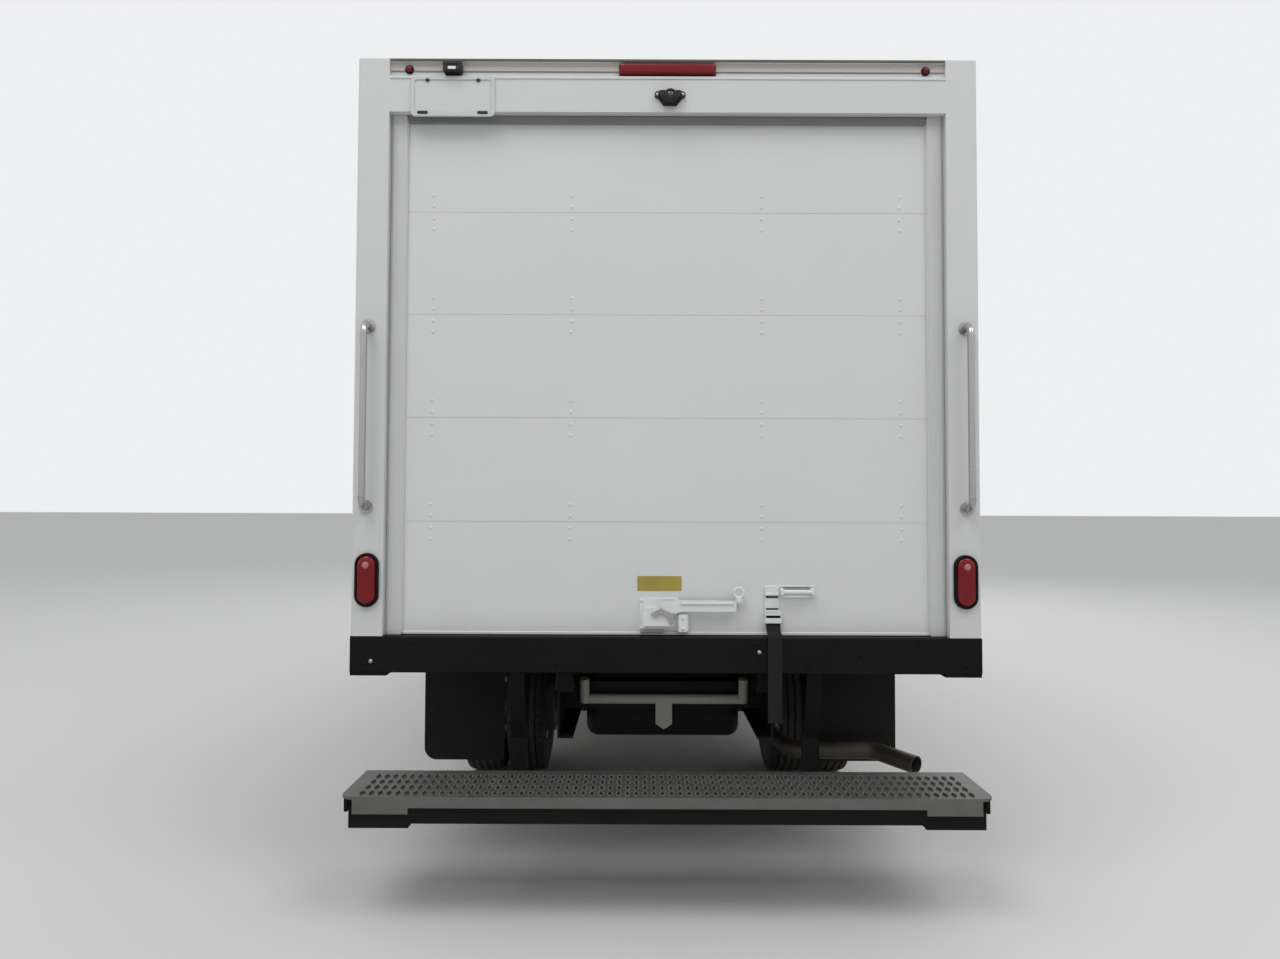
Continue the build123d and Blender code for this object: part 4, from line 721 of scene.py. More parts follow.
# Sill bolts and the screws of the grab handles' flanges
boltDrops = ((-1.16, 0.105), (-0.98, 0.025), (0.352, 0.025), (0.362, 0.085), (0.98, 0.025), (1.16, 0.105),
             (-0.42, 0.105), (0.55, 0.105), (-0.75, 0.07), (0.75, 0.07))
sillBolts = [(x, sillY - 0.001, deckZ - drop) for x, drop in boltDrops]
addPiece("sillBolts", [domes(sillBolts, 0.008, 0.005, rearward, 10)], blackFrame, smooth=True)
zincBolts = [(-1.138, sillY - 0.0005, deckZ - 0.096), (0.360, sillY - 0.0005, deckZ - 0.057)]
flapFace, flapTop = lowOf("mud_flaps")[1], highOf("mud_flaps")[2]
zincBolts += [(side * 0.880, flapFace - 0.0005, flapTop - 0.165) for side in (-1, 1)]
addPiece("zincBolts", [domes(zincBolts, 0.0085, 0.005, rearward, 12)], nutSteel, smooth=True)
flangeScrews = [(side * (halfBody - 0.055) + dx, sillY - 0.006, deckZ + z + dz) for side in (-1, 1)
                for z in (0.498, 1.202) for dx, dz in ((0, 0.020), (0, -0.020))]
addPiece("flangeScrews", [domes(flangeScrews, 0.0045, 0.003, rearward, 10)], stainless, smooth=True)

# Teeth round the tread's diamond holes: small upright fins on every strand, cut in points
treadTeeth = {"pitch": 0.032, "rowPitch": 0.068, "rows": 4, "first": 0.042, "wide": 0.019, "long": 0.056,
              "border": 0.027, "tooth": 0.0065, "tall": 0.0045, "thin": 0.0011}


def buildTeeth(spec):
    # A tooth is a wedge: a thin foot along the hole's edge that rises to a point at its middle
    half = treadHalf - spec["border"]
    columns = 2 * int(half / spec["pitch"] + 1e-9)
    xs = (np.arange(columns) - (columns - 1) / 2) * spec["pitch"]
    ys = treadBackY + spec["first"] + np.arange(spec["rows"]) * spec["rowPitch"]
    gx, gy = np.meshgrid(xs, ys, indexing="ij")
    holes = np.stack([gx.ravel(), gy.ravel()], 1)
    points, faces = [], []
    corner = np.array([(-spec["wide"] / 2, 0), (0, -spec["long"] / 2), (spec["wide"] / 2, 0),
                       (0, spec["long"] / 2)])
    shares = (0.14, 0.38, 0.62, 0.86)
    count = 0
    tooth = np.array([[0, 1, 2], [3, 5, 4], [0, 2, 5], [0, 5, 3], [1, 4, 5], [1, 5, 2], [0, 3, 4], [0, 4, 1]])
    for start in range(4):
        a, b = corner[start], corner[(start + 1) % 4]
        along = (b - a) / np.linalg.norm(b - a)
        out = np.array([along[1], -along[0]])
        for share in shares:
            middle = a + (b - a) * share + out * 0.0016
            foot = [middle - along * spec["tooth"] / 2, middle + along * spec["tooth"] / 2]
            skins = [point + shift * out for shift in (-spec["thin"] / 2, spec["thin"] / 2)
                     for point in (*foot, middle)]
            base = holes[:, None] + np.array(skins)
            height = np.array([0, 0, spec["tall"], 0, 0, spec["tall"]]) + treadTopZ
            block = np.concatenate([base, np.broadcast_to(height[None, :, None], (len(holes), 6, 1))], 2)
            points.append(block.reshape(-1, 3))
            faces.append((tooth[None] + (np.arange(len(holes)) * 6)[:, None, None]).reshape(-1, 3) + count)
            count += len(holes) * 6
    return np.concatenate(points), np.concatenate(faces)


addPiece("treadTeeth", [buildTeeth(treadTeeth)], galvanised)
print("stage: tread teeth")

# Tyres: ribs between zigzag grooves, shoulder slots, and rings on the side walls
tyreSpec = {"radius": 0.3855, "slots": 60, "grooves": (-0.057, -0.0195, 0.0195, 0.057),
            "grooveHalf": 0.0052, "grooveDepth": 0.011, "zigzag": 0.0028, "slotDepth": 0.006}
frontX, frontAxleY, hubZ = middleOf("front_tyre_right")
rearAxleY = middleOf("rear_tyres_right")[1]


def buildTyre(spec, centre):
    # Columns run from bead to bead; the side wall's radii come from a short table, the tread is a flat crown
    wall = np.array([(0.0800, 0.2075), (0.0865, 0.2195), (0.0930, 0.2265), (0.0965, 0.2330), (0.0962, 0.2370),
                     (0.1010, 0.2460), (0.1052, 0.2640), (0.1070, 0.2840), (0.1076, 0.2960), (0.1068, 0.3060),
                     (0.1075, 0.3075), (0.1075, 0.3125), (0.1060, 0.3140), (0.1040, 0.3270), (0.1035, 0.3375),
                     (0.1020, 0.3450), (0.0990, 0.3580), (0.0962, 0.3680), (0.0930, 0.3755), (0.0880, 0.3800)])
    # Each column: place across, radius, share of the zigzag, share of the shoulder slots
    sideRows = [(x, r, 0.0, float(r > 0.344)) for x, r in wall]
    edge = 0.0800
    cuts = [(-edge, 0.0, 0.0, 1.0), (-0.0715, 0.0, 0.0, 1.0), (-0.0710, 0.0, 0.0, 0.0)]
    for groove in spec["grooves"]:
        top, low = spec["grooveHalf"], spec["grooveHalf"] * 0.55
        cuts += [(groove - top, 0.0, 1.0, 0.0), (groove - low, spec["grooveDepth"], 1.0, 0.0),
                 (groove + low, spec["grooveDepth"], 1.0, 0.0), (groove + top, 0.0, 1.0, 0.0)]
    cuts += [(0.0710, 0.0, 0.0, 0.0), (0.0715, 0.0, 0.0, 1.0), (edge, 0.0, 0.0, 1.0)]
    treadRows = [(x, spec["radius"] - 0.0035 * (abs(x) / edge) ** 4 - deep, zig, cutting)
                 for x, deep, zig, cutting in cuts]
    columns = [(-x, *rest) for x, *rest in sideRows] + treadRows + sideRows[::-1]
    across, radius, follow, slot = np.array(columns).T
    phase = np.array([0.0, 0.03, 0.22, 0.25, 0.62])
    angle = ((np.arange(spec["slots"])[:, None] + phase) / spec["slots"] * 2 * math.pi).ravel()
    deepening = np.tile([0.0, 1.0, 1.0, 0.0, 0.0], spec["slots"])
    zigWave = np.abs(((angle * spec["slots"] / 2 / math.pi) % 2) - 1) * 2 - 1
    x = across + follow * zigWave[:, None] * spec["zigzag"]
    slotReach = np.clip((radius - 0.335) / 0.04, 0, 1)  # the slots run out down the side wall
    r = radius - slot * slotReach * deepening[:, None] * spec["slotDepth"]
    points = np.stack([x, r * np.cos(angle)[:, None], r * np.sin(angle)[:, None]], -1).reshape(-1, 3)
    return points + np.asarray(centre), gridFaces(len(angle), len(across), True, False)


outerX = highOf("rear_tyres_right")[0] - 0.108
innerX = lowOf("rear_tyres_right")[0] + 0.108
for side, sideName in bothSides:
    front = addPiece("frontTyre" + sideName, [buildTyre(tyreSpec, (side * frontX, frontAxleY, hubZ))],
                     tyreRubber, "front_wheel_" + sideName)
    rear = addPiece("rearTyres" + sideName, [buildTyre(tyreSpec, (side * x, rearAxleY, hubZ))
                                             for x in (innerX, outerX)], tyreRubber, "rear_wheels_" + sideName)
    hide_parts("front_tyre_" + sideName)
    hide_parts("rear_tyres_" + sideName)
print("stage: tyres")

# Wheel nuts on the discs, a ringed hub cap in front and a flanged shaft end behind
nutSpec = {"count": 10, "circle": 0.111, "radius": 0.0165, "tall": 0.021}


def buildNuts(spec, faceX, side, axleY):
    shapes = []
    profile = [(0.0, spec["radius"] * 1.35), (0.003, spec["radius"] * 1.35), (0.0035, spec["radius"]),
               (spec["tall"] - 0.003, spec["radius"]), (spec["tall"], spec["radius"] * 0.82),
               (spec["tall"], 0.008), (spec["tall"] + 0.006, 0.0075), (spec["tall"] + 0.006, 0.0004)]
    for index in range(spec["count"]):
        angle = 2 * math.pi * (index + 0.5) / spec["count"]
        centre = (side * faceX, axleY + spec["circle"] * math.cos(angle),
                  hubZ + spec["circle"] * math.sin(angle))
        shapes.append(turned([(side * along, radius) for along, radius in profile], 6, "x", centre))
    return shapes


discFace, rearFace = frontX + 0.113, outerX - 0.099
for side, sideName in bothSides:
    nuts = buildNuts(nutSpec, discFace, side, frontAxleY)
    capProfile = [(0.030, 0.0573), (0.034, 0.0565), (0.0355, 0.053), (0.0345, 0.044), (0.0365, 0.040),
                  (0.0375, 0.026), (0.0375, 0.0004)]
    cap = turned([(side * along, radius) for along, radius in capProfile],
                 40, "x", (side * discFace, frontAxleY, hubZ))
    addPiece("frontNuts" + sideName, nuts + [cap], nutSteel, "front_wheel_" + sideName)
    nuts = buildNuts(nutSpec, rearFace, side, rearAxleY)
    flange = [(0.0, 0.0645), (0.003, 0.0645), (0.006, 0.062), (0.006, 0.0004)]
    end = turned([(side * along, radius) for along, radius in flange],
                 36, "x", (side * (outerX + 0.036), rearAxleY, hubZ))
    studs = [domes([(side * (outerX + 0.041), rearAxleY + 0.046 * math.cos(a), hubZ + 0.046 * math.sin(a))
                    for a in np.arange(8) * math.pi / 4], 0.0065, 0.006, (side, 0, 0), 8)]
    addPiece("rearNuts" + sideName, nuts + [end] + studs, nutSteel, "rear_wheels_" + sideName)
print("stage: wheel nuts")

# Window rubbers: a band that follows each pane's outline on the cab's skin
cabFront, cabBack = highOf("cab_nose")[1], lowOf("cab_frame")[1]
cabHalf = highOf("steps_and_arches")[0] + 0.006
beltZ, cabTop, cabFloorZ = 1.320, highOf("cab_roof")[2], highOf("steps_and_arches")[2]


def inCab(x, y, z):
    # Point in the cab, measured from its back wall and its floor
    return np.array([x, cabBack + y, cabFloorZ + z])


def rounded(points, corner, steps=6):
    # Outline with each corner replaced by a circular arc that touches both its sides
    points = np.asarray(points, float)
    path = []
    for index, here in enumerate(points):
        before = points[index - 1] - here
        after = points[(index + 1) % len(points)] - here
        before, after = before / np.linalg.norm(before), after / np.linalg.norm(after)
        halfAngle = math.acos(np.clip(before @ after, -1, 1)) / 2
        start, end = here + before * corner / math.tan(halfAngle), here + after * corner / math.tan(halfAngle)
        middle = here + (before + after) / np.linalg.norm(before + after) * corner / math.sin(halfAngle)
        a, b = start - middle, end - middle
        sweep = math.acos(np.clip(a @ b / corner ** 2, -1, 1))
        share = np.linspace(0, 1, steps)
        arc = (np.sin((1 - share) * sweep)[:, None] * a + np.sin(share * sweep)[:, None] * b) / math.sin(sweep)
        path.append(middle + arc)
    return np.concatenate(path)


def gasket(outline, toSpace, wide=0.022, out=0.005, deep=0.012):
    # Closed band: the outline is grown and shrunk about itself, then lifted off the skin
    outline = np.asarray(outline)
    count = len(outline)
    ahead = np.roll(outline, -1, axis=0) - np.roll(outline, 1, axis=0)
    ahead /= np.linalg.norm(ahead, axis=1)[:, None]
    normal = np.stack([ahead[:, 1], -ahead[:, 0]], 1)
    section = [(-wide * 0.5, -deep), (-wide * 0.5, out * 0.4), (-wide * 0.2, out), (wide * 0.25, out),
               (wide * 0.5, out * 0.3), (wide * 0.5, -deep)]
    rings = [toSpace(outline + normal * across, lift) for across, lift in section]
    points = np.stack(rings, 1).reshape(-1, 3)
    return points, gridFaces(count, len(section), True, True)


def onScreen(flat, lift):
    # Windshield plane: y falls as z rises
    y = cabFront - 0.014 - (flat[:, 1] - (beltZ - 0.020)) * 0.2939 + lift * 0.96
    return np.stack([flat[:, 0], y, flat[:, 1] + lift * 0.28], 1)


def onSide(side):
    # Cab side above the belt: half width shrinks evenly with height
    def place(flat, lift):
        x = cabHalf - (flat[:, 1] - beltZ) * 0.0955 + lift
        return np.stack([side * x, flat[:, 0], flat[:, 1]], 1)
    return place


def onBack(flat, lift):
    return np.stack([flat[:, 0], np.full(len(flat), cabBack) - lift, flat[:, 1]], 1)


doorFrontY, doorRearY, doorHeadZ = cabFront - 0.145, cabFront - 1.105, cabTop - 0.120
screenLow, screenTop, backLow, backTop = beltZ + 0.025, beltZ + 0.760, beltZ + 0.160, beltZ + 0.660
screenOutline = rounded([(-0.905, screenLow), (0.905, screenLow), (0.835, screenTop), (-0.835, screenTop)],
                        0.05)
windowOutline = rounded([(doorFrontY - 0.075, beltZ + 0.030), (doorFrontY - 0.262, doorHeadZ - 0.062),
                         (doorRearY + 0.060, doorHeadZ - 0.062), (doorRearY + 0.060, beltZ + 0.030)], 0.04)
quarterOutline = rounded([(doorRearY - 0.090, beltZ + 0.060), (doorRearY - 0.090, doorHeadZ - 0.090),
                          (cabBack + 0.110, doorHeadZ - 0.110), (cabBack + 0.110, beltZ + 0.060)], 0.04)
backOutline = rounded([(-0.510, backLow), (0.510, backLow), (0.510, backTop), (-0.510, backTop)], 0.05)
addPiece("cabRubbers", [gasket(screenOutline, onScreen, 0.030), gasket(quarterOutline, onSide(-1)),
                        gasket(quarterOutline, onSide(1)), gasket(backOutline, onBack)],
         rubberBlack, "cab", smooth=True)
for side, sideName in bothSides:
    addPiece("doorRubber" + sideName, [gasket(windowOutline, onSide(side))],
             rubberBlack, "door_" + sideName, smooth=True)
print("stage: window rubbers")

# Body sides: rivets along the rails and the panel joints, and thin joint bands
wallLow, wallHigh = lowOf("van_wall_right"), highOf("van_wall_right")
wallX = wallHigh[0]
panelX = wallX - 0.004
jointPitch = 1.18
rivetSpec = {"railHigh": 0.055, "topDrop": 0.030}


def rivetRow(start, end, out, step=0.105, radius=0.0055, tall=0.0022):
    # Evenly spaced domes on the straight line between two points
    start, end = np.asarray(start, float), np.asarray(end, float)
    count = max(int(np.linalg.norm(end - start) / step), 2)
    centres = start + (end - start) * ((np.arange(count) + 0.5) / count)[:, None]
    return domes(centres, radius, tall, out, 6)


jointPlaces = np.arange(wallLow[1] + jointPitch, wallHigh[1] - 0.5, jointPitch)
jointLow, jointTop = wallLow[2] + 0.090, wallHigh[2] - 0.062
rivets, bands = [], []
for side in (-1, 1):
    out = (side, 0, 0)
    rail = side * (wallX - 0.0002)
    for z in (wallLow[2] + rivetSpec["railHigh"], wallHigh[2] - rivetSpec["topDrop"]):
        rivets.append(rivetRow((rail, wallLow[1] + 0.05, z), (rail, wallHigh[1] - 0.05, z), out))
    for y in (wallLow[1] + 0.032, wallHigh[1] - 0.060):
        rivets.append(rivetRow((rail, y, jointLow), (rail, y, jointTop), out))
    for y in jointPlaces:
        x0, x1 = sorted((side * (panelX - 0.001), side * (panelX + 0.0012)))
        bands.append(slab((x0, y - 0.030, jointLow), (x1, y + 0.030, jointTop), 0.0006))
        for shift in (-0.019, 0.019):
            x = side * (panelX + 0.001)
            rivets.append(rivetRow((x, y + shift, jointLow), (x, y + shift, jointTop),
                                   out, radius=0.005, tall=0.0018))
frontFace = highOf("van_front_wall")[1]
frontLow = lowOf("van_front_wall")[2] + 0.100
frontRows = [((x, frontFace, frontLow), (x, frontFace, roofZ - 0.070)) for x in (-1.13, 1.13)]
frontRows.append(((-1.08, frontFace, roofZ - 0.075), (1.08, frontFace, roofZ - 0.075)))
rivets += [rivetRow(start, end, forward, tall=0.002) for start, end in frontRows]
addPiece("bodyRivets", rivets, rivetGrey, smooth=True)
addPiece("panelJoints", bands, whiteBody)

# Roof bows pressed into the roof sheet
bowPlaces = np.arange(wallLow[1] + 0.55, wallHigh[1] - 0.2, 0.59)
bowLine = np.linspace(-1, 1, 41)


def buildBow(y):
    # Low ridge across the roof whose height falls off as a cosine in both directions
    across = np.linspace(-1, 1, 9)
    a, c = np.meshgrid(bowLine, across, indexing="ij")
    rise = 0.0035 * (0.5 + 0.5 * np.cos(c * math.pi)) * (1 - np.abs(a) ** 10)
    points = np.stack([a * (wallX - 0.06), y + c * 0.035, roofZ - 0.0040 + rise], -1).reshape(-1, 3)
    return points, gridFaces(41, 9)


addPiece("roofBows", [buildBow(y) for y in bowPlaces], whiteBody, smooth=True)
print("stage: body sides and roof")


def buildMarker(centre, out, along, long=0.050, tall=0.020, high=0.014):
    # Marker lens: a flat ellipse raised as a square root dome, on a thin base
    out, along = np.asarray(out, float), np.asarray(along, float)
    up = np.cross(out, along)
    angle = np.linspace(0, 2 * math.pi, 36, endpoint=False)
    rings = []
    for share, lift in ((1.0, -0.001), (1.0, 0.004), (0.93, 0.0065), (0.80, 0.75), (0.62, 0.9), (0.35, 0.98),
                        (0.02, 1.0)):
        lift = lift if lift < 0.1 else 0.0065 + (high - 0.0065) * math.sqrt(1 - share ** 2) * lift
        ring = (np.asarray(centre) + out * lift + along * (long * share * np.cos(angle))[:, None]
                + up * (tall * share * np.sin(angle))[:, None])
        rings.append(ring)
    faces = [list(face) for face in gridFaces(len(rings), 36, False, True)]
    faces.append(list(range((len(rings) - 1) * 36, len(rings) * 36)))
    return np.concatenate(rings), faces


sideLampRows = [("red", wallLow[1] + 0.16, wallLow[2] + 0.028),
                ("red", wallLow[1] + 0.16, wallHigh[2] - 0.030),
                ("amber", wallHigh[1] - 0.16, wallLow[2] + 0.028),
                ("amber", wallHigh[1] - 0.16, wallHigh[2] - 0.030),
                ("amber", (wallLow[1] + wallHigh[1]) / 2, wallLow[2] + 0.028)]
sideRed = [buildMarker((side * wallX, y, z), (side, 0, 0), (0, 1, 0)) for side in (-1, 1)
           for tint, y, z in sideLampRows if tint == "red"]
sideAmber = [buildMarker((side * wallX, y, z), (side, 0, 0), (0, 1, 0)) for side in (-1, 1)
             for tint, y, z in sideLampRows if tint == "amber"]
frontAmber = [buildMarker((x, frontFace, roofZ - 0.040), forward, rightward, 0.045, 0.018)
              for x in (-1.08, -0.16, 0.0, 0.16, 1.08)]
addPiece("sideLampsRed", sideRed, redLens, smooth=True)
addPiece("sideLampsAmber", sideAmber + frontAmber, amberLens, smooth=True)
print("stage: side lamps")

# Cab lamps: bowls and fluted glass in the head lamps, amber corner lamps, five roof lamps
lampLow, lampHigh = lowOf("headlamps"), highOf("headlamps")
lampInner = 0.600
lampZ, lampMiddle = middleOf("headlamps")[2], (lampHigh[0] + lampInner) / 2
bowlProfile = [(0.0, 0.052), (-0.0015, 0.050), (-0.006, 0.043), (-0.010, 0.031), (-0.0125, 0.016),
               (-0.013, 0.009), (-0.007, 0.0085), (-0.004, 0.006), (-0.003, 0.0005)]


def buildHeadlamp(side):
    middle = side * lampMiddle
    halfLong, halfTall = (lampHigh[0] - lampInner) / 2, (lampHigh[2] - lampLow[2]) / 2
    face = lampHigh[1]
    table = [(0.0, -0.016), (0.0, -0.003), (0.003, -0.001), (0.009, -0.001), (0.012, -0.003), (0.012, -0.014)]
    outlines = [roundRect(halfLong - cut, halfTall - cut, 0.028 - cut * 0.5, 7) for cut, out in table]
    case = stacked(outlines, [face + out for cut, out in table], (middle, lampZ))
    bowls = [turned(bowlProfile, 40, "y", (middle + side * shift, face - 0.0008, lampZ))
             for shift in (-0.075, 0.048)]
    # Glass: thin cover whose face carries upright flutes as a cosine
    x = np.linspace(-1, 1, 141)
    z = np.linspace(-1, 1, 15)
    gx, gz = np.meshgrid(x, z, indexing="ij")
    edge = np.clip(1 - np.abs(gx) ** 24, 0, 1) * np.clip(1 - np.abs(gz) ** 12, 0, 1)
    y = face - 0.0012 + 0.001 * edge + 0.00025 * np.cos(gx * halfLong / 0.0035 * math.pi) * edge
    glass = np.stack([middle + gx * (halfLong - 0.0125), y, lampZ + gz * (halfTall - 0.0125)],
                     -1).reshape(-1, 3)
    return case, bowls, (glass, gridFaces(141, 15))


headlampParts = [buildHeadlamp(side) for side in (-1, 1)]
lampCase = addPiece("headlampCases", [part[0] for part in headlampParts], blackPlastic, "cab")
addPiece("headlampBowls", [bowl for part in headlampParts for bowl in part[1]],
         mirrorChrome, "cab", smooth=True)
addPiece("headlampGlass", [part[2] for part in headlampParts], lampGlass, "cab", smooth=True)
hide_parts("headlamps")
signalZ = beltZ - 0.130
signals = [buildMarker((side * (cabHalf - 0.001), doorFrontY + 0.045, signalZ - 0.12), (side, 0, 0), (0, 1, 0),
                       0.032, 0.020, 0.012) for side in (-1, 1)]
signals += [buildMarker((side * 0.82, cabFront, cabFloorZ + 0.055), forward, rightward, 0.060, 0.026, 0.014)
            for side in (-1, 1)]
roofLamps = [buildMarker((x, cabFront - 0.450, cabTop - 0.0262), (0, 0.0, 1), (1, 0, 0), 0.055, 0.030, 0.030)
             for x in (-0.70, -0.20, 0.0, 0.20, 0.70)]
addPiece("cabSignals", signals + roofLamps, amberLens, "cab", smooth=True)
print("stage: cab lamps")

# Grille: dark net behind the bars, drawn as a fine grid of crossing wires
netHalf, netLow, netTop = 0.530, cabFloorZ + 0.046, cabFloorZ + 0.224
netX = np.arange(-netHalf, netHalf + 0.001, 0.010)
netZ = np.arange(netLow, netTop + 0.001, 0.010)
wires = [slab((-0.0009, 0.0012, netLow), (0.0009, 0.0030, netTop), at=(x, cabFront, 0)) for x in netX]
wires += [slab((-netHalf, 0.0022, -0.0009), (netHalf, 0.0040, 0.0009), at=(0, cabFront, z)) for z in netZ]
addPiece("grilleNet", wires, greyPlastic, "cab")
addPiece("grilleBack", [slab((-netHalf, cabFront - 0.001, netLow), (netHalf, cabFront + 0.0010, netTop))],
         blackPlastic, "cab")
print("stage: grille")

# Wiper blades, mirror glasses, door pulls with their dark cups, key barrels
bladeSpans = ((-0.42, 0.02), (0.24, 0.70))
blades = []
for inner, outer in bladeSpans:
    line = np.linspace((inner, cabFront - 0.0030, beltZ + 0.016), (outer, cabFront - 0.0195, beltZ + 0.072), 14)
    blades.append(swept(line,
                        [(-0.004, -0.002), (0.004, -0.004), (0.006, 0.004), (0.0, 0.008), (-0.006, 0.004)]))
    blades.append(swept(line + [0, -0.009, -0.003],
                        [(-0.001, -0.006), (0.001, -0.006), (0.003, 0.004), (-0.003, 0.004)]))
addPiece("wiperBlades", blades, rubberBlack, "cab")
mirrorX = highOf("mirrors")[0] - 0.110
mirrorBack = cabFront - 0.120
mirrorPanes = []
for side in (-1, 1):
    for low, high, half, out in ((0.172, 0.558, 0.096, -0.0015), (0.042, 0.132, 0.086, 0.0025)):
        outline = roundRect(half, (high - low) / 2, 0.016, 6)
        levels = [mirrorBack + 0.008, mirrorBack + out, mirrorBack + out - 0.001]
        mirrorPanes.append(stacked([outline, outline, outline * 0.985],
                                   levels, (side * mirrorX, beltZ + (low + high) / 2)))
addPiece("mirrorGlass", mirrorPanes, mirrorChrome, "cab")
for side, sideName in bothSides:
    pullY, pullZ = doorRearY + 0.145, beltZ - 0.0785
    cup = (side * (cabHalf + 0.0002), side * (cabHalf + 0.0012))
    outline = roundRect(0.090, 0.036, 0.014, 6)
    ring = [np.stack([np.full(len(outline), level), outline[:, 0] + pullY, outline[:, 1] + pullZ], 1)
            for level in cup]
    faces = [list(face) for face in gridFaces(2, len(outline), False, True)]
    faces.append(list(range(len(outline), 2 * len(outline))))
    x0, x1 = sorted((side * (cabHalf + 0.001), side * (cabHalf + 0.0155)))
    grip = slab((x0, -0.078, -0.0185), (x1, 0.078, 0.0185), 0.005, (0, pullY, pullZ))
    addPiece("doorPull" + sideName, [(np.concatenate(ring), faces), grip],
             blackPlastic, "door_" + sideName, bevel=0.001)
    key = [(0.0, 0.0125), (0.003, 0.0125), (0.004, 0.0105), (0.0035, 0.0015), (0.0035, 0.0003)]
    addPiece("keyBarrel" + sideName, [turned([(side * along, radius) for along, radius in key],
                                             24, "x", (side * cabHalf, pullY - 0.032, pullZ - 0.062))],
             stainless, "door_" + sideName, smooth=True)
print("stage: cab fittings")

# Seats: crowned cushions whose edges pull in, with sewn channels and a sewn border
seatFloor, seatFront, seatBackY = cabFloorZ + 0.060, cabFront - 0.640, cabBack + 0.090


def buildPad(half, deep, thick, channels, toSpace):
    # Closed pad: thickness follows a rounded box, and every channel is a narrow cosine dip in the face
    u = np.linspace(-1, 1, 97)
    v = np.linspace(-1, 1, 65)
    gu, gv = np.meshgrid(u, v, indexing="ij")
    edge = np.clip(1 - np.abs(gu) ** 8, 0, 1) ** 0.45 * np.clip(1 - np.abs(gv) ** 8, 0, 1) ** 0.45
    crown = 0.72 + 0.28 * np.cos(gu * math.pi / 2) * np.cos(gv * math.pi / 2)
    dip = np.zeros_like(gu)
    for line in channels:
        dip = np.maximum(dip, np.exp(-((gu - line) * half / 0.006) ** 2) * (np.abs(gv) < 0.84))
    seam = np.exp(-((np.abs(gv) - 0.86) * deep / 0.005) ** 2) * (np.abs(gu) < 0.90)
    dip = np.maximum(dip, seam)
    pull = 1 - 0.018 * (np.cos(gu * math.pi * 0.5) ** 2)
    top = edge * crown * thick - 0.008 * dip * edge
    bottom = -edge * thick * 0.16
    layers = []
    for height in (top, bottom):
        layers.append(toSpace(gu * half, gv * deep * pull, height).reshape(-1, 3))
    count = gu.size
    faces = gridFaces(97, 65)
    rim = np.concatenate([np.arange(65), 65 * np.arange(1, 97) + 64, 96 * 65 + np.arange(63, -1, -1),
                          65 * np.arange(95, 0, -1)])
    after = np.roll(rim, -1)
    sides = np.stack([rim, after, after + count, rim + count], 1)
    return np.concatenate(layers), np.concatenate([faces, faces[:, ::-1] + count, sides[:, ::-1]])


seatShells = []
for seatName, middle, wide in (("driver", -0.430, 0.250), ("bench", 0.460, 0.400)):
    cushionY, cushionZ = (seatFront + seatBackY + 0.120) / 2, seatFloor + 0.275
    cushionDeep = (seatFront - seatBackY - 0.120) / 2

    def cushionSpace(u, v, w, middle=middle):
        return np.stack([middle + u, cushionY + v, cushionZ + w], -1)

    lean = math.atan2(0.090, 0.600)
    restLow = np.array([seatBackY + 0.168, seatFloor + 0.405])

    def restSpace(u, v, w, middle=middle):
        # Backrest: v climbs along the leaning back, w stands off towards the front
        along, offFace = v + 0.300, w
        y = restLow[0] - along * math.sin(lean) + offFace * math.cos(lean)
        z = restLow[1] + along * math.cos(lean) + offFace * math.sin(lean)
        return np.stack([middle + u, y, z], -1)

    lines = (-0.5, 0.0, 0.5) if seatName == "driver" else (-0.66, -0.33, 0.0, 0.33, 0.66)
    cushion = addPiece(seatName + "Cushion", [buildPad(wide - 0.002, cushionDeep, 0.122, lines, cushionSpace)],
                       seatCloth, "cab", smooth=True)
    rest = addPiece(seatName + "Backrest", [buildPad(wide - 0.008, 0.290, 0.062, lines, restSpace)],
                    seatCloth, "cab", smooth=True)
    # Plinth under the cushion and a moulded shell behind the backrest
    y0, y1 = seatBackY + 0.150, seatFront - 0.040
    seatShells.append(slab((middle - wide + 0.030, y0, seatFloor),
                           (middle + wide - 0.030, y1, seatFloor + 0.262), 0.012))
    shell = []
    for along, lift in ((0.01, -0.052), (0.02, -0.060), (0.56, -0.060), (0.585, -0.048), (0.585, -0.006),
                        (0.01, -0.006)):
        shell.append((restLow[0] - along * math.sin(lean) + lift * math.cos(lean),
                      restLow[1] + along * math.cos(lean) + lift * math.sin(lean)))
    seatShells.append(plate(shell, 2 * wide - 0.030, "x", middle - wide + 0.015))
seatBase = addPiece("seatShells", seatShells, blackPlastic, "cab", bevel=0.004)
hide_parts("seats")
print("stage: seats")

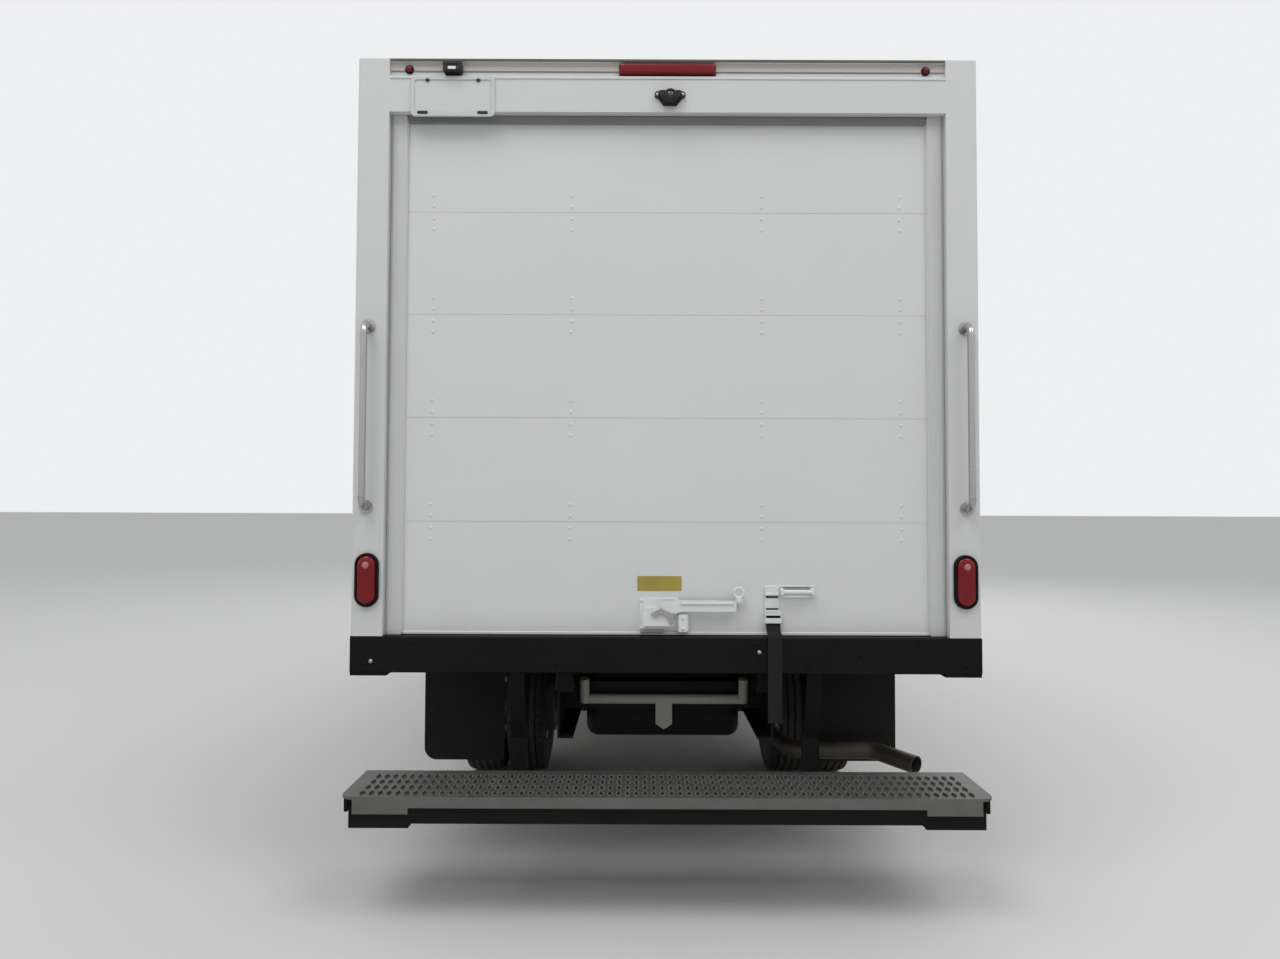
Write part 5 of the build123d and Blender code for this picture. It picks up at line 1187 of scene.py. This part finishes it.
# Seat belts: flat webbing that lies on the backrest and the cushion, ended by a red-buttoned buckle
beltRows = [(-0.430, 0.250, 1), (0.300, 0.180, -1), (0.640, 0.180, 1)]
webbing, buckles, buttons = [], [], []
for middle, reach, turn in beltRows:
    x = middle + turn * (reach - 0.055)
    lower = middle - turn * (reach - 0.060)
    path = [(x, 0.195, 1.045), (x, 0.276, 1.025), (x - turn * 0.02, 0.300, 0.960),
            (x - turn * 0.07, 0.326, 0.820), (x - turn * 0.16, 0.348, 0.660), (x - turn * 0.24, 0.365, 0.540),
            (lower, 0.390, 0.485)]
    place = np.linspace(0, len(path) - 1, 60)
    path = np.stack([np.interp(place, np.arange(len(path)), np.array(path)[:, axis]) for axis in range(3)], 1)
    path += inCab(0, 0, 0)
    webbing.append(swept(path, [(-0.022, -0.0006), (0.022, -0.0006), (0.022, 0.0006), (-0.022, 0.0006)],
                         (0, 0.96, 0.28)))
    buckles.append(slab(inCab(lower - 0.024, 0.365, 0.458), inCab(lower + 0.024, 0.420, 0.498), 0.005))
    buttons.append(slab(inCab(lower - 0.015, 0.388, 0.496), inCab(lower + 0.015, 0.414, 0.501), 0.0015))
addPiece("seatBelts", webbing, strapWeb, "cab")
addPiece("beltBuckles", buckles, blackPlastic, "cab", bevel=0.002)
addPiece("beltButtons", buttons, redLens, "cab")

# Dashboard: hooded cluster with two plain dials, vents with slats, switch rows and a blank panel
dashFront = cabFront - 0.060
dashFaceY = dashFront - 0.341
driverX = -0.430
dashAt = np.array([dashFront, beltZ])
hoodOutline = dashAt + [(-0.130, -0.030), (-0.180, 0.020), (-0.290, 0.018), (-0.300, 0.006), (-0.215, -0.002),
                        (-0.225, -0.045)]
cheekOutline = dashAt + [(-0.130, -0.050), (-0.180, 0.018), (-0.290, 0.016), (-0.310, -0.060)]
clusterOutline = dashAt + [(-0.216, -0.004), (-0.226, -0.050), (-0.231, -0.050), (-0.221, -0.004)]
cowl = [plate(hoodOutline, 0.400, "x", driverX - 0.200)]
cowl += [plate(cheekOutline, 0.012, "x", x) for x in (driverX - 0.200, driverX + 0.188)]
cluster = plate(clusterOutline, 0.372, "x", driverX - 0.186)
addPiece("dashCowl", cowl + [cluster], blackPlastic, "cab", bevel=0.002)
dialX, dialZ = (driverX - 0.090, driverX, driverX + 0.090), beltZ - 0.026
dialRings = [torus((x, dashFront - 0.229, dialZ), 0.021, 0.0022, "y", 28, 8) for x in dialX]
dialFaces = [turned([(0.0, 0.020), (-0.0016, 0.0195), (-0.0016, 0.0005)],
                    28, "y", (x, dashFront - 0.228, dialZ)) for x in dialX]
addPiece("dialRings", dialRings, stainless, "cab", smooth=True)
addPiece("dialFaces", dialFaces, darkGlass, "cab")
slope = 0.020 / 0.110  # the dashboard's face comes towards the driver as it falls
ventParts, panelParts = [], []
for x in (-0.790, -0.060, 0.110, 0.800):
    for row in range(5):
        z = beltZ - 0.098 - row * 0.017
        y = dashFaceY + 0.011 - (beltZ - 0.080 - z) * slope
        ventParts.append(slab((-0.055, -0.006, -0.0016), (0.055, 0.004, 0.0016), 0.0008, (x, y, z)))
    for side in (-1, 1):
        ventParts.append(slab((-0.004, -0.014, -0.176), (0.004, 0.006, -0.090),
                              0.001, (x + side * 0.058, dashFaceY, beltZ)))
for x in (0.215, 0.262, 0.309, 0.356):
    panelParts.append(slab((-0.018, -0.008, -0.150), (0.018, 0.006, -0.118), 0.003, (x, dashFaceY, beltZ)))
panelParts.append(slab((0.440, -0.006, -0.165), (0.640, 0.006, -0.105), 0.003, (0, dashFaceY, beltZ)))
addPiece("dashVents", ventParts, blackPlastic, "cab")
addPiece("dashPanels", panelParts, blackPlastic, "cab")

# Floor mat with long ribs, and three pedals with ridged pads
matLow, matHigh = inCab(-0.930, 1.060, 0.0605), inCab(0.930, 1.350, 0.0635)
matRibs = [slab((-0.004, matLow[1] + 0.02, 0), (0.004, matHigh[1] - 0.02, 0.003), 0.001, (x, 0, matHigh[2]))
           for x in np.arange(-0.900, 0.901, 0.024)]
addPiece("floorMat", [slab(matLow, matHigh, 0.001)] + matRibs, rubberBlack, "cab")
pedals = []
for x, wide in ((-0.560, 0.030), (-0.430, 0.034), (-0.320, 0.022)):
    padOutline = [inCab(0, y, z)[1:]
                  for y, z in ((1.375, 0.150), (1.420, 0.230), (1.428, 0.226), (1.383, 0.146))]
    pedals.append(plate(padOutline, 2 * wide, "x", x - wide))
    pedals.append(slab(inCab(x - 0.006, 1.398, 0.180), inCab(x + 0.006, 1.410, 0.300), 0.002))
    for row in range(5):
        y, z = 1.380 + row * 0.0085, 0.160 + row * 0.0151
        pedals.append(slab(inCab(x - wide + 0.004, y - 0.006, z - 0.002),
                           inCab(x + wide - 0.004, y, z + 0.003), 0.001))
addPiece("pedals", pedals, rubberBlack, "cab")
print("stage: cab interior")

# Raised treads on the cab steps: small lozenges laid in a herringbone
cabStep = {"front": cabFront - 0.155, "back": cabFront - 0.500, "inner": 0.762, "top": 0.470, "pitch": 0.032}
treadRows = np.arange(cabStep["back"], cabStep["front"], cabStep["pitch"])
treadColumns = np.arange(cabStep["inner"], cabHalf - 0.022, cabStep["pitch"])
lozenges = []
for side in (-1, 1):
    row, column = np.meshgrid(np.arange(len(treadRows)), np.arange(len(treadColumns)), indexing="ij")
    turn = np.where((row + column) % 2, 1.0, -1.0).ravel() * math.pi / 4
    centre = np.stack([side * treadColumns[column].ravel(), treadRows[row].ravel(),
                       np.full(row.size, cabStep["top"])], 1)
    reach = np.stack([np.cos(turn), np.sin(turn), 0 * turn], 1) * 0.011
    across = np.stack([-np.sin(turn), np.cos(turn), 0 * turn], 1) * 0.0028
    lift = np.array([0, 0, 0.0022])
    points = np.stack([centre - reach, centre + across, centre + reach, centre - across,
                       centre - reach * 0.5 + lift, centre + reach * 0.5 + lift], 1).reshape(-1, 3)
    one = np.array([[0, 3, 4], [4, 3, 5], [3, 2, 5], [0, 4, 1], [4, 5, 1], [5, 2, 1]])
    faces = (one[None] + (np.arange(row.size) * 6)[:, None, None]).reshape(-1, 3)
    lozenges.append((points, faces))
addPiece("stepTreads", lozenges, blackFrame, "cab")

# Under-frame: bolt heads on the rail webs, straps and drain plug of the tank, lines along the rail, clamps
railsLow, railsHigh = lowOf("chassis_rails"), highOf("chassis_rails")
railX, railLow, railHigh = 0.425, railsLow[2], railsHigh[2]
frameBolts = []
for side in (-1, 1):
    for z in (railLow + 0.045, railHigh - 0.045):
        frameBolts.append(rivetRow((side * railX, railsLow[1] + 0.050, z),
                                   (side * railX, railsHigh[1] - 0.136, z), (side, 0, 0), 0.16, 0.010, 0.007))
memberY, memberZ = railsLow[1] + 0.245, railLow + 0.100
frameBolts.append(rivetRow((-0.36, memberY, memberZ), (0.36, memberY, memberZ), rearward, 0.10, 0.009, 0.006))
addPiece("frameBolts", frameBolts, blackFrame, smooth=True)
tankLow, tankHigh = lowOf("fuel_tank"), highOf("fuel_tank")
bandOutline = roundRect(0.3335, (tankHigh[2] - tankLow[2]) / 2 + 0.0035, 0.053, 10)
tankMiddle = (0, middleOf("fuel_tank")[2])
bandsRound = []
for y in (tankLow[1] + 0.110, tankHigh[1] - 0.110):
    bandsRound.append(stacked([bandOutline, bandOutline], [y - 0.022, y + 0.022], tankMiddle, False, False))
    bandsRound.append(rivetRow((-0.24, y, tankLow[2] - 0.003), (0.24, y, tankLow[2] - 0.003), (0, 0, -1),
                               0.12, 0.009, 0.006))
bandsRound.append(turned([(0.0, 0.022), (0.006, 0.022), (0.008, 0.018), (0.008, 0.0005)],
                         16, "z", (0.0, tankLow[1] + 0.380, tankLow[2] - 0.008)))
addPiece("tankBands", bandsRound, galvanised)
lines = []
for shift, radius in ((0.030, 0.009), (0.054, 0.007), (0.074, 0.0055)):
    path = np.array([(railX - 0.016 - radius, y, railLow + 0.035 + shift
                      + 0.004 * math.sin(y * 2.4 + shift * 90)) for y in np.linspace(-0.75, 2.0, 70)])
    lines.append(swept(path, circle(radius, 8)))
addPiece("chassisLines", lines, rubberBlack, smooth=True)
clampProfile = [(-0.012, 0.1105), (-0.012, 0.1135), (0.012, 0.1135), (0.012, 0.1105)]
silencerX, silencerZ = 0.560, 0.560
clamps = [turned(clampProfile, 40, "y", (silencerX, y, silencerZ), closed=True) for y in (-0.70, -0.08)]
addPiece("exhaustClamps", clamps, nutSteel)
batteryLow, batteryHigh = lowOf("battery_box"), highOf("battery_box")
lid = slab((batteryLow[0] - 0.004, batteryLow[1] - 0.004, batteryHigh[2] - 0.050),
           (batteryHigh[0] - 0.012, batteryHigh[1] + 0.004, batteryHigh[2] + 0.003), 0.004)
latches = [slab((-0.011, -0.014, -0.095), (-0.001, 0.014, -0.035), 0.003, (batteryLow[0], y, batteryHigh[2]))
           for y in (batteryLow[1] + 0.10, batteryHigh[1] - 0.10)]
addPiece("batteryLid", [lid] + latches, blackPlastic, bevel=0.0015)
print("stage: under-frame")

# U-bolts over each spring pack, with nuts below the clamp plates
uBolts = []
for axleY, seatZ in ((frontAxleY, 0.396), (rearAxleY, 0.462)):
    top = seatZ + 0.069
    for side in (-1, 1):
        for shift in (-0.042, 0.042):
            for x in (0.345, 0.431):
                uBolts.append(turned([(-0.030, 0.0003), (-0.030, 0.0065),
                                      (top - seatZ + 0.012, 0.0065), (top - seatZ + 0.012, 0.0003)],
                                     10, "z", (side * x, axleY + shift, seatZ)))
                uBolts.append(turned([(-0.004, 0.0065), (-0.004, 0.012), (0.010, 0.012), (0.010, 0.0065)],
                                     6, "z", (side * x, axleY + shift, top)))
addPiece("uBolts", uBolts, nutSteel)
print("stage: springs")

# Grey weather seal behind the header, down to the door's face; its mid grey is painted shade, standing in for
# the header's shaded underside and the dark gap above the door
sealSpec = {"back": 0.0345, "drop": 0.030, "under": 0.0005}
headerZ = sectionTall * doorSections["count"] + deckZ + doorSections["start"] - 0.025
seal = [slab((-halfDoor + 0.028, sillY + sealSpec["back"], headerZ - sealSpec["drop"]),
             (halfDoor - 0.028, doorFaceY - 0.0015, headerZ - sealSpec["under"]), 0.0015)]
addPiece("headerSealShade", seal, sealAndShadeGrey)

# Floor, light and camera
floorSize, floorDrop = 400.0, 0.0005
floorMesh = bpy.data.meshes.new("floor")
floorMesh.from_pydata([(x * floorSize, y * floorSize, -floorDrop)
                       for x, y in ((-1, -1), (1, -1), (1, 1), (-1, 1))], [], [(0, 1, 2, 3)])
floor = bpy.data.objects.new("floor", floorMesh)
bpy.context.scene.collection.objects.link(floor)
floorFinish = bpy.data.materials.new("paleFloor")
floorFinish.use_nodes = True
floorShader = floorFinish.node_tree.nodes["Principled BSDF"].inputs
floorShader["Base Color"].default_value = (0.62, 0.62, 0.61, 1)
floorShader["Roughness"].default_value = 0.85
floor.data.materials.append(floorFinish)

world = bpy.data.worlds.new("softDaylight")
bpy.context.scene.world = world
world.use_nodes = True
sky = world.node_tree
ambient = sky.nodes["Background"]
ambient.inputs["Color"].default_value = (0.97, 0.98, 1.0, 1)
direction = addNode(sky, "TexCoord").outputs["Generated"]
skyRise = addNode(sky, "SeparateXYZ", {}, {0: direction}).outputs["Z"]
strength = addNode(sky, "MapRange", {"To Min": 0.30, "To Max": 0.86}, {"Value": skyRise}).outputs[0]
sky.links.new(strength, ambient.inputs["Strength"])
pale = addNode(sky, "Background", {"Color": (0.90, 0.91, 0.93, 1), "Strength": 0.95}).outputs[0]
ray = addNode(sky, "LightPath").outputs
seen = ray["Is Camera Ray"]
for kind in ("Is Glossy Ray", "Is Transmission Ray"):
    seen = addNode(sky, "Math", {}, {0: seen, 1: ray[kind]}, operation="MAXIMUM").outputs[0]
chooser = addNode(sky, "MixShader", {}, {0: seen, 1: ambient.outputs[0], 2: pale})
sky.links.new(chooser.outputs[0], sky.nodes["World Output"].inputs["Surface"])

lampSize = 7.0
lampTable = [("keyLamp", (-4.0, -8.6, 12.0), 480.0), ("fillLamp", (5.8, -7.6, 11.0), 320.0),
             ("frontLamp", (3.0, 10.0, 9.0), 340.0)]
aim = Vector((0, 0, 1.6))
for lampName, place, power in lampTable:
    light = bpy.data.lights.new(lampName, "AREA")
    light.shape = "DISK"
    light.size = lampSize
    light.energy = power
    lamp = bpy.data.objects.new(lampName, light)
    lamp.location = place
    lamp.rotation_euler = (aim - Vector(place)).to_track_quat("-Z", "Y").to_euler()
    bpy.context.scene.collection.objects.link(lamp)

viewer = {"focalPixels": 900.0, "imageWide": 1280.0, "distance": 3.489, "height": 1.4955, "across": -0.1027,
          "tiltUp": 2.01, "roll": 0.2136, "sensor": 36.0}
lens = bpy.data.cameras.new("photoCamera")
lens.sensor_width = viewer["sensor"]
lens.lens = viewer["focalPixels"] / viewer["imageWide"] * viewer["sensor"]
lens.clip_end = 1000
camera = bpy.data.objects.new("photoCamera", lens)
camera.location = (viewer["across"], sillY - viewer["distance"], viewer["height"])
camera.rotation_euler = (Matrix.Rotation(math.radians(90 + viewer["tiltUp"]), 3, "X")
                         @ Matrix.Rotation(math.radians(viewer["roll"]), 3, "Z")).to_euler()
bpy.context.scene.collection.objects.link(camera)
bpy.context.scene.camera = camera
bpy.context.scene.view_settings.view_transform = "Standard"
print("stage: light and camera set")
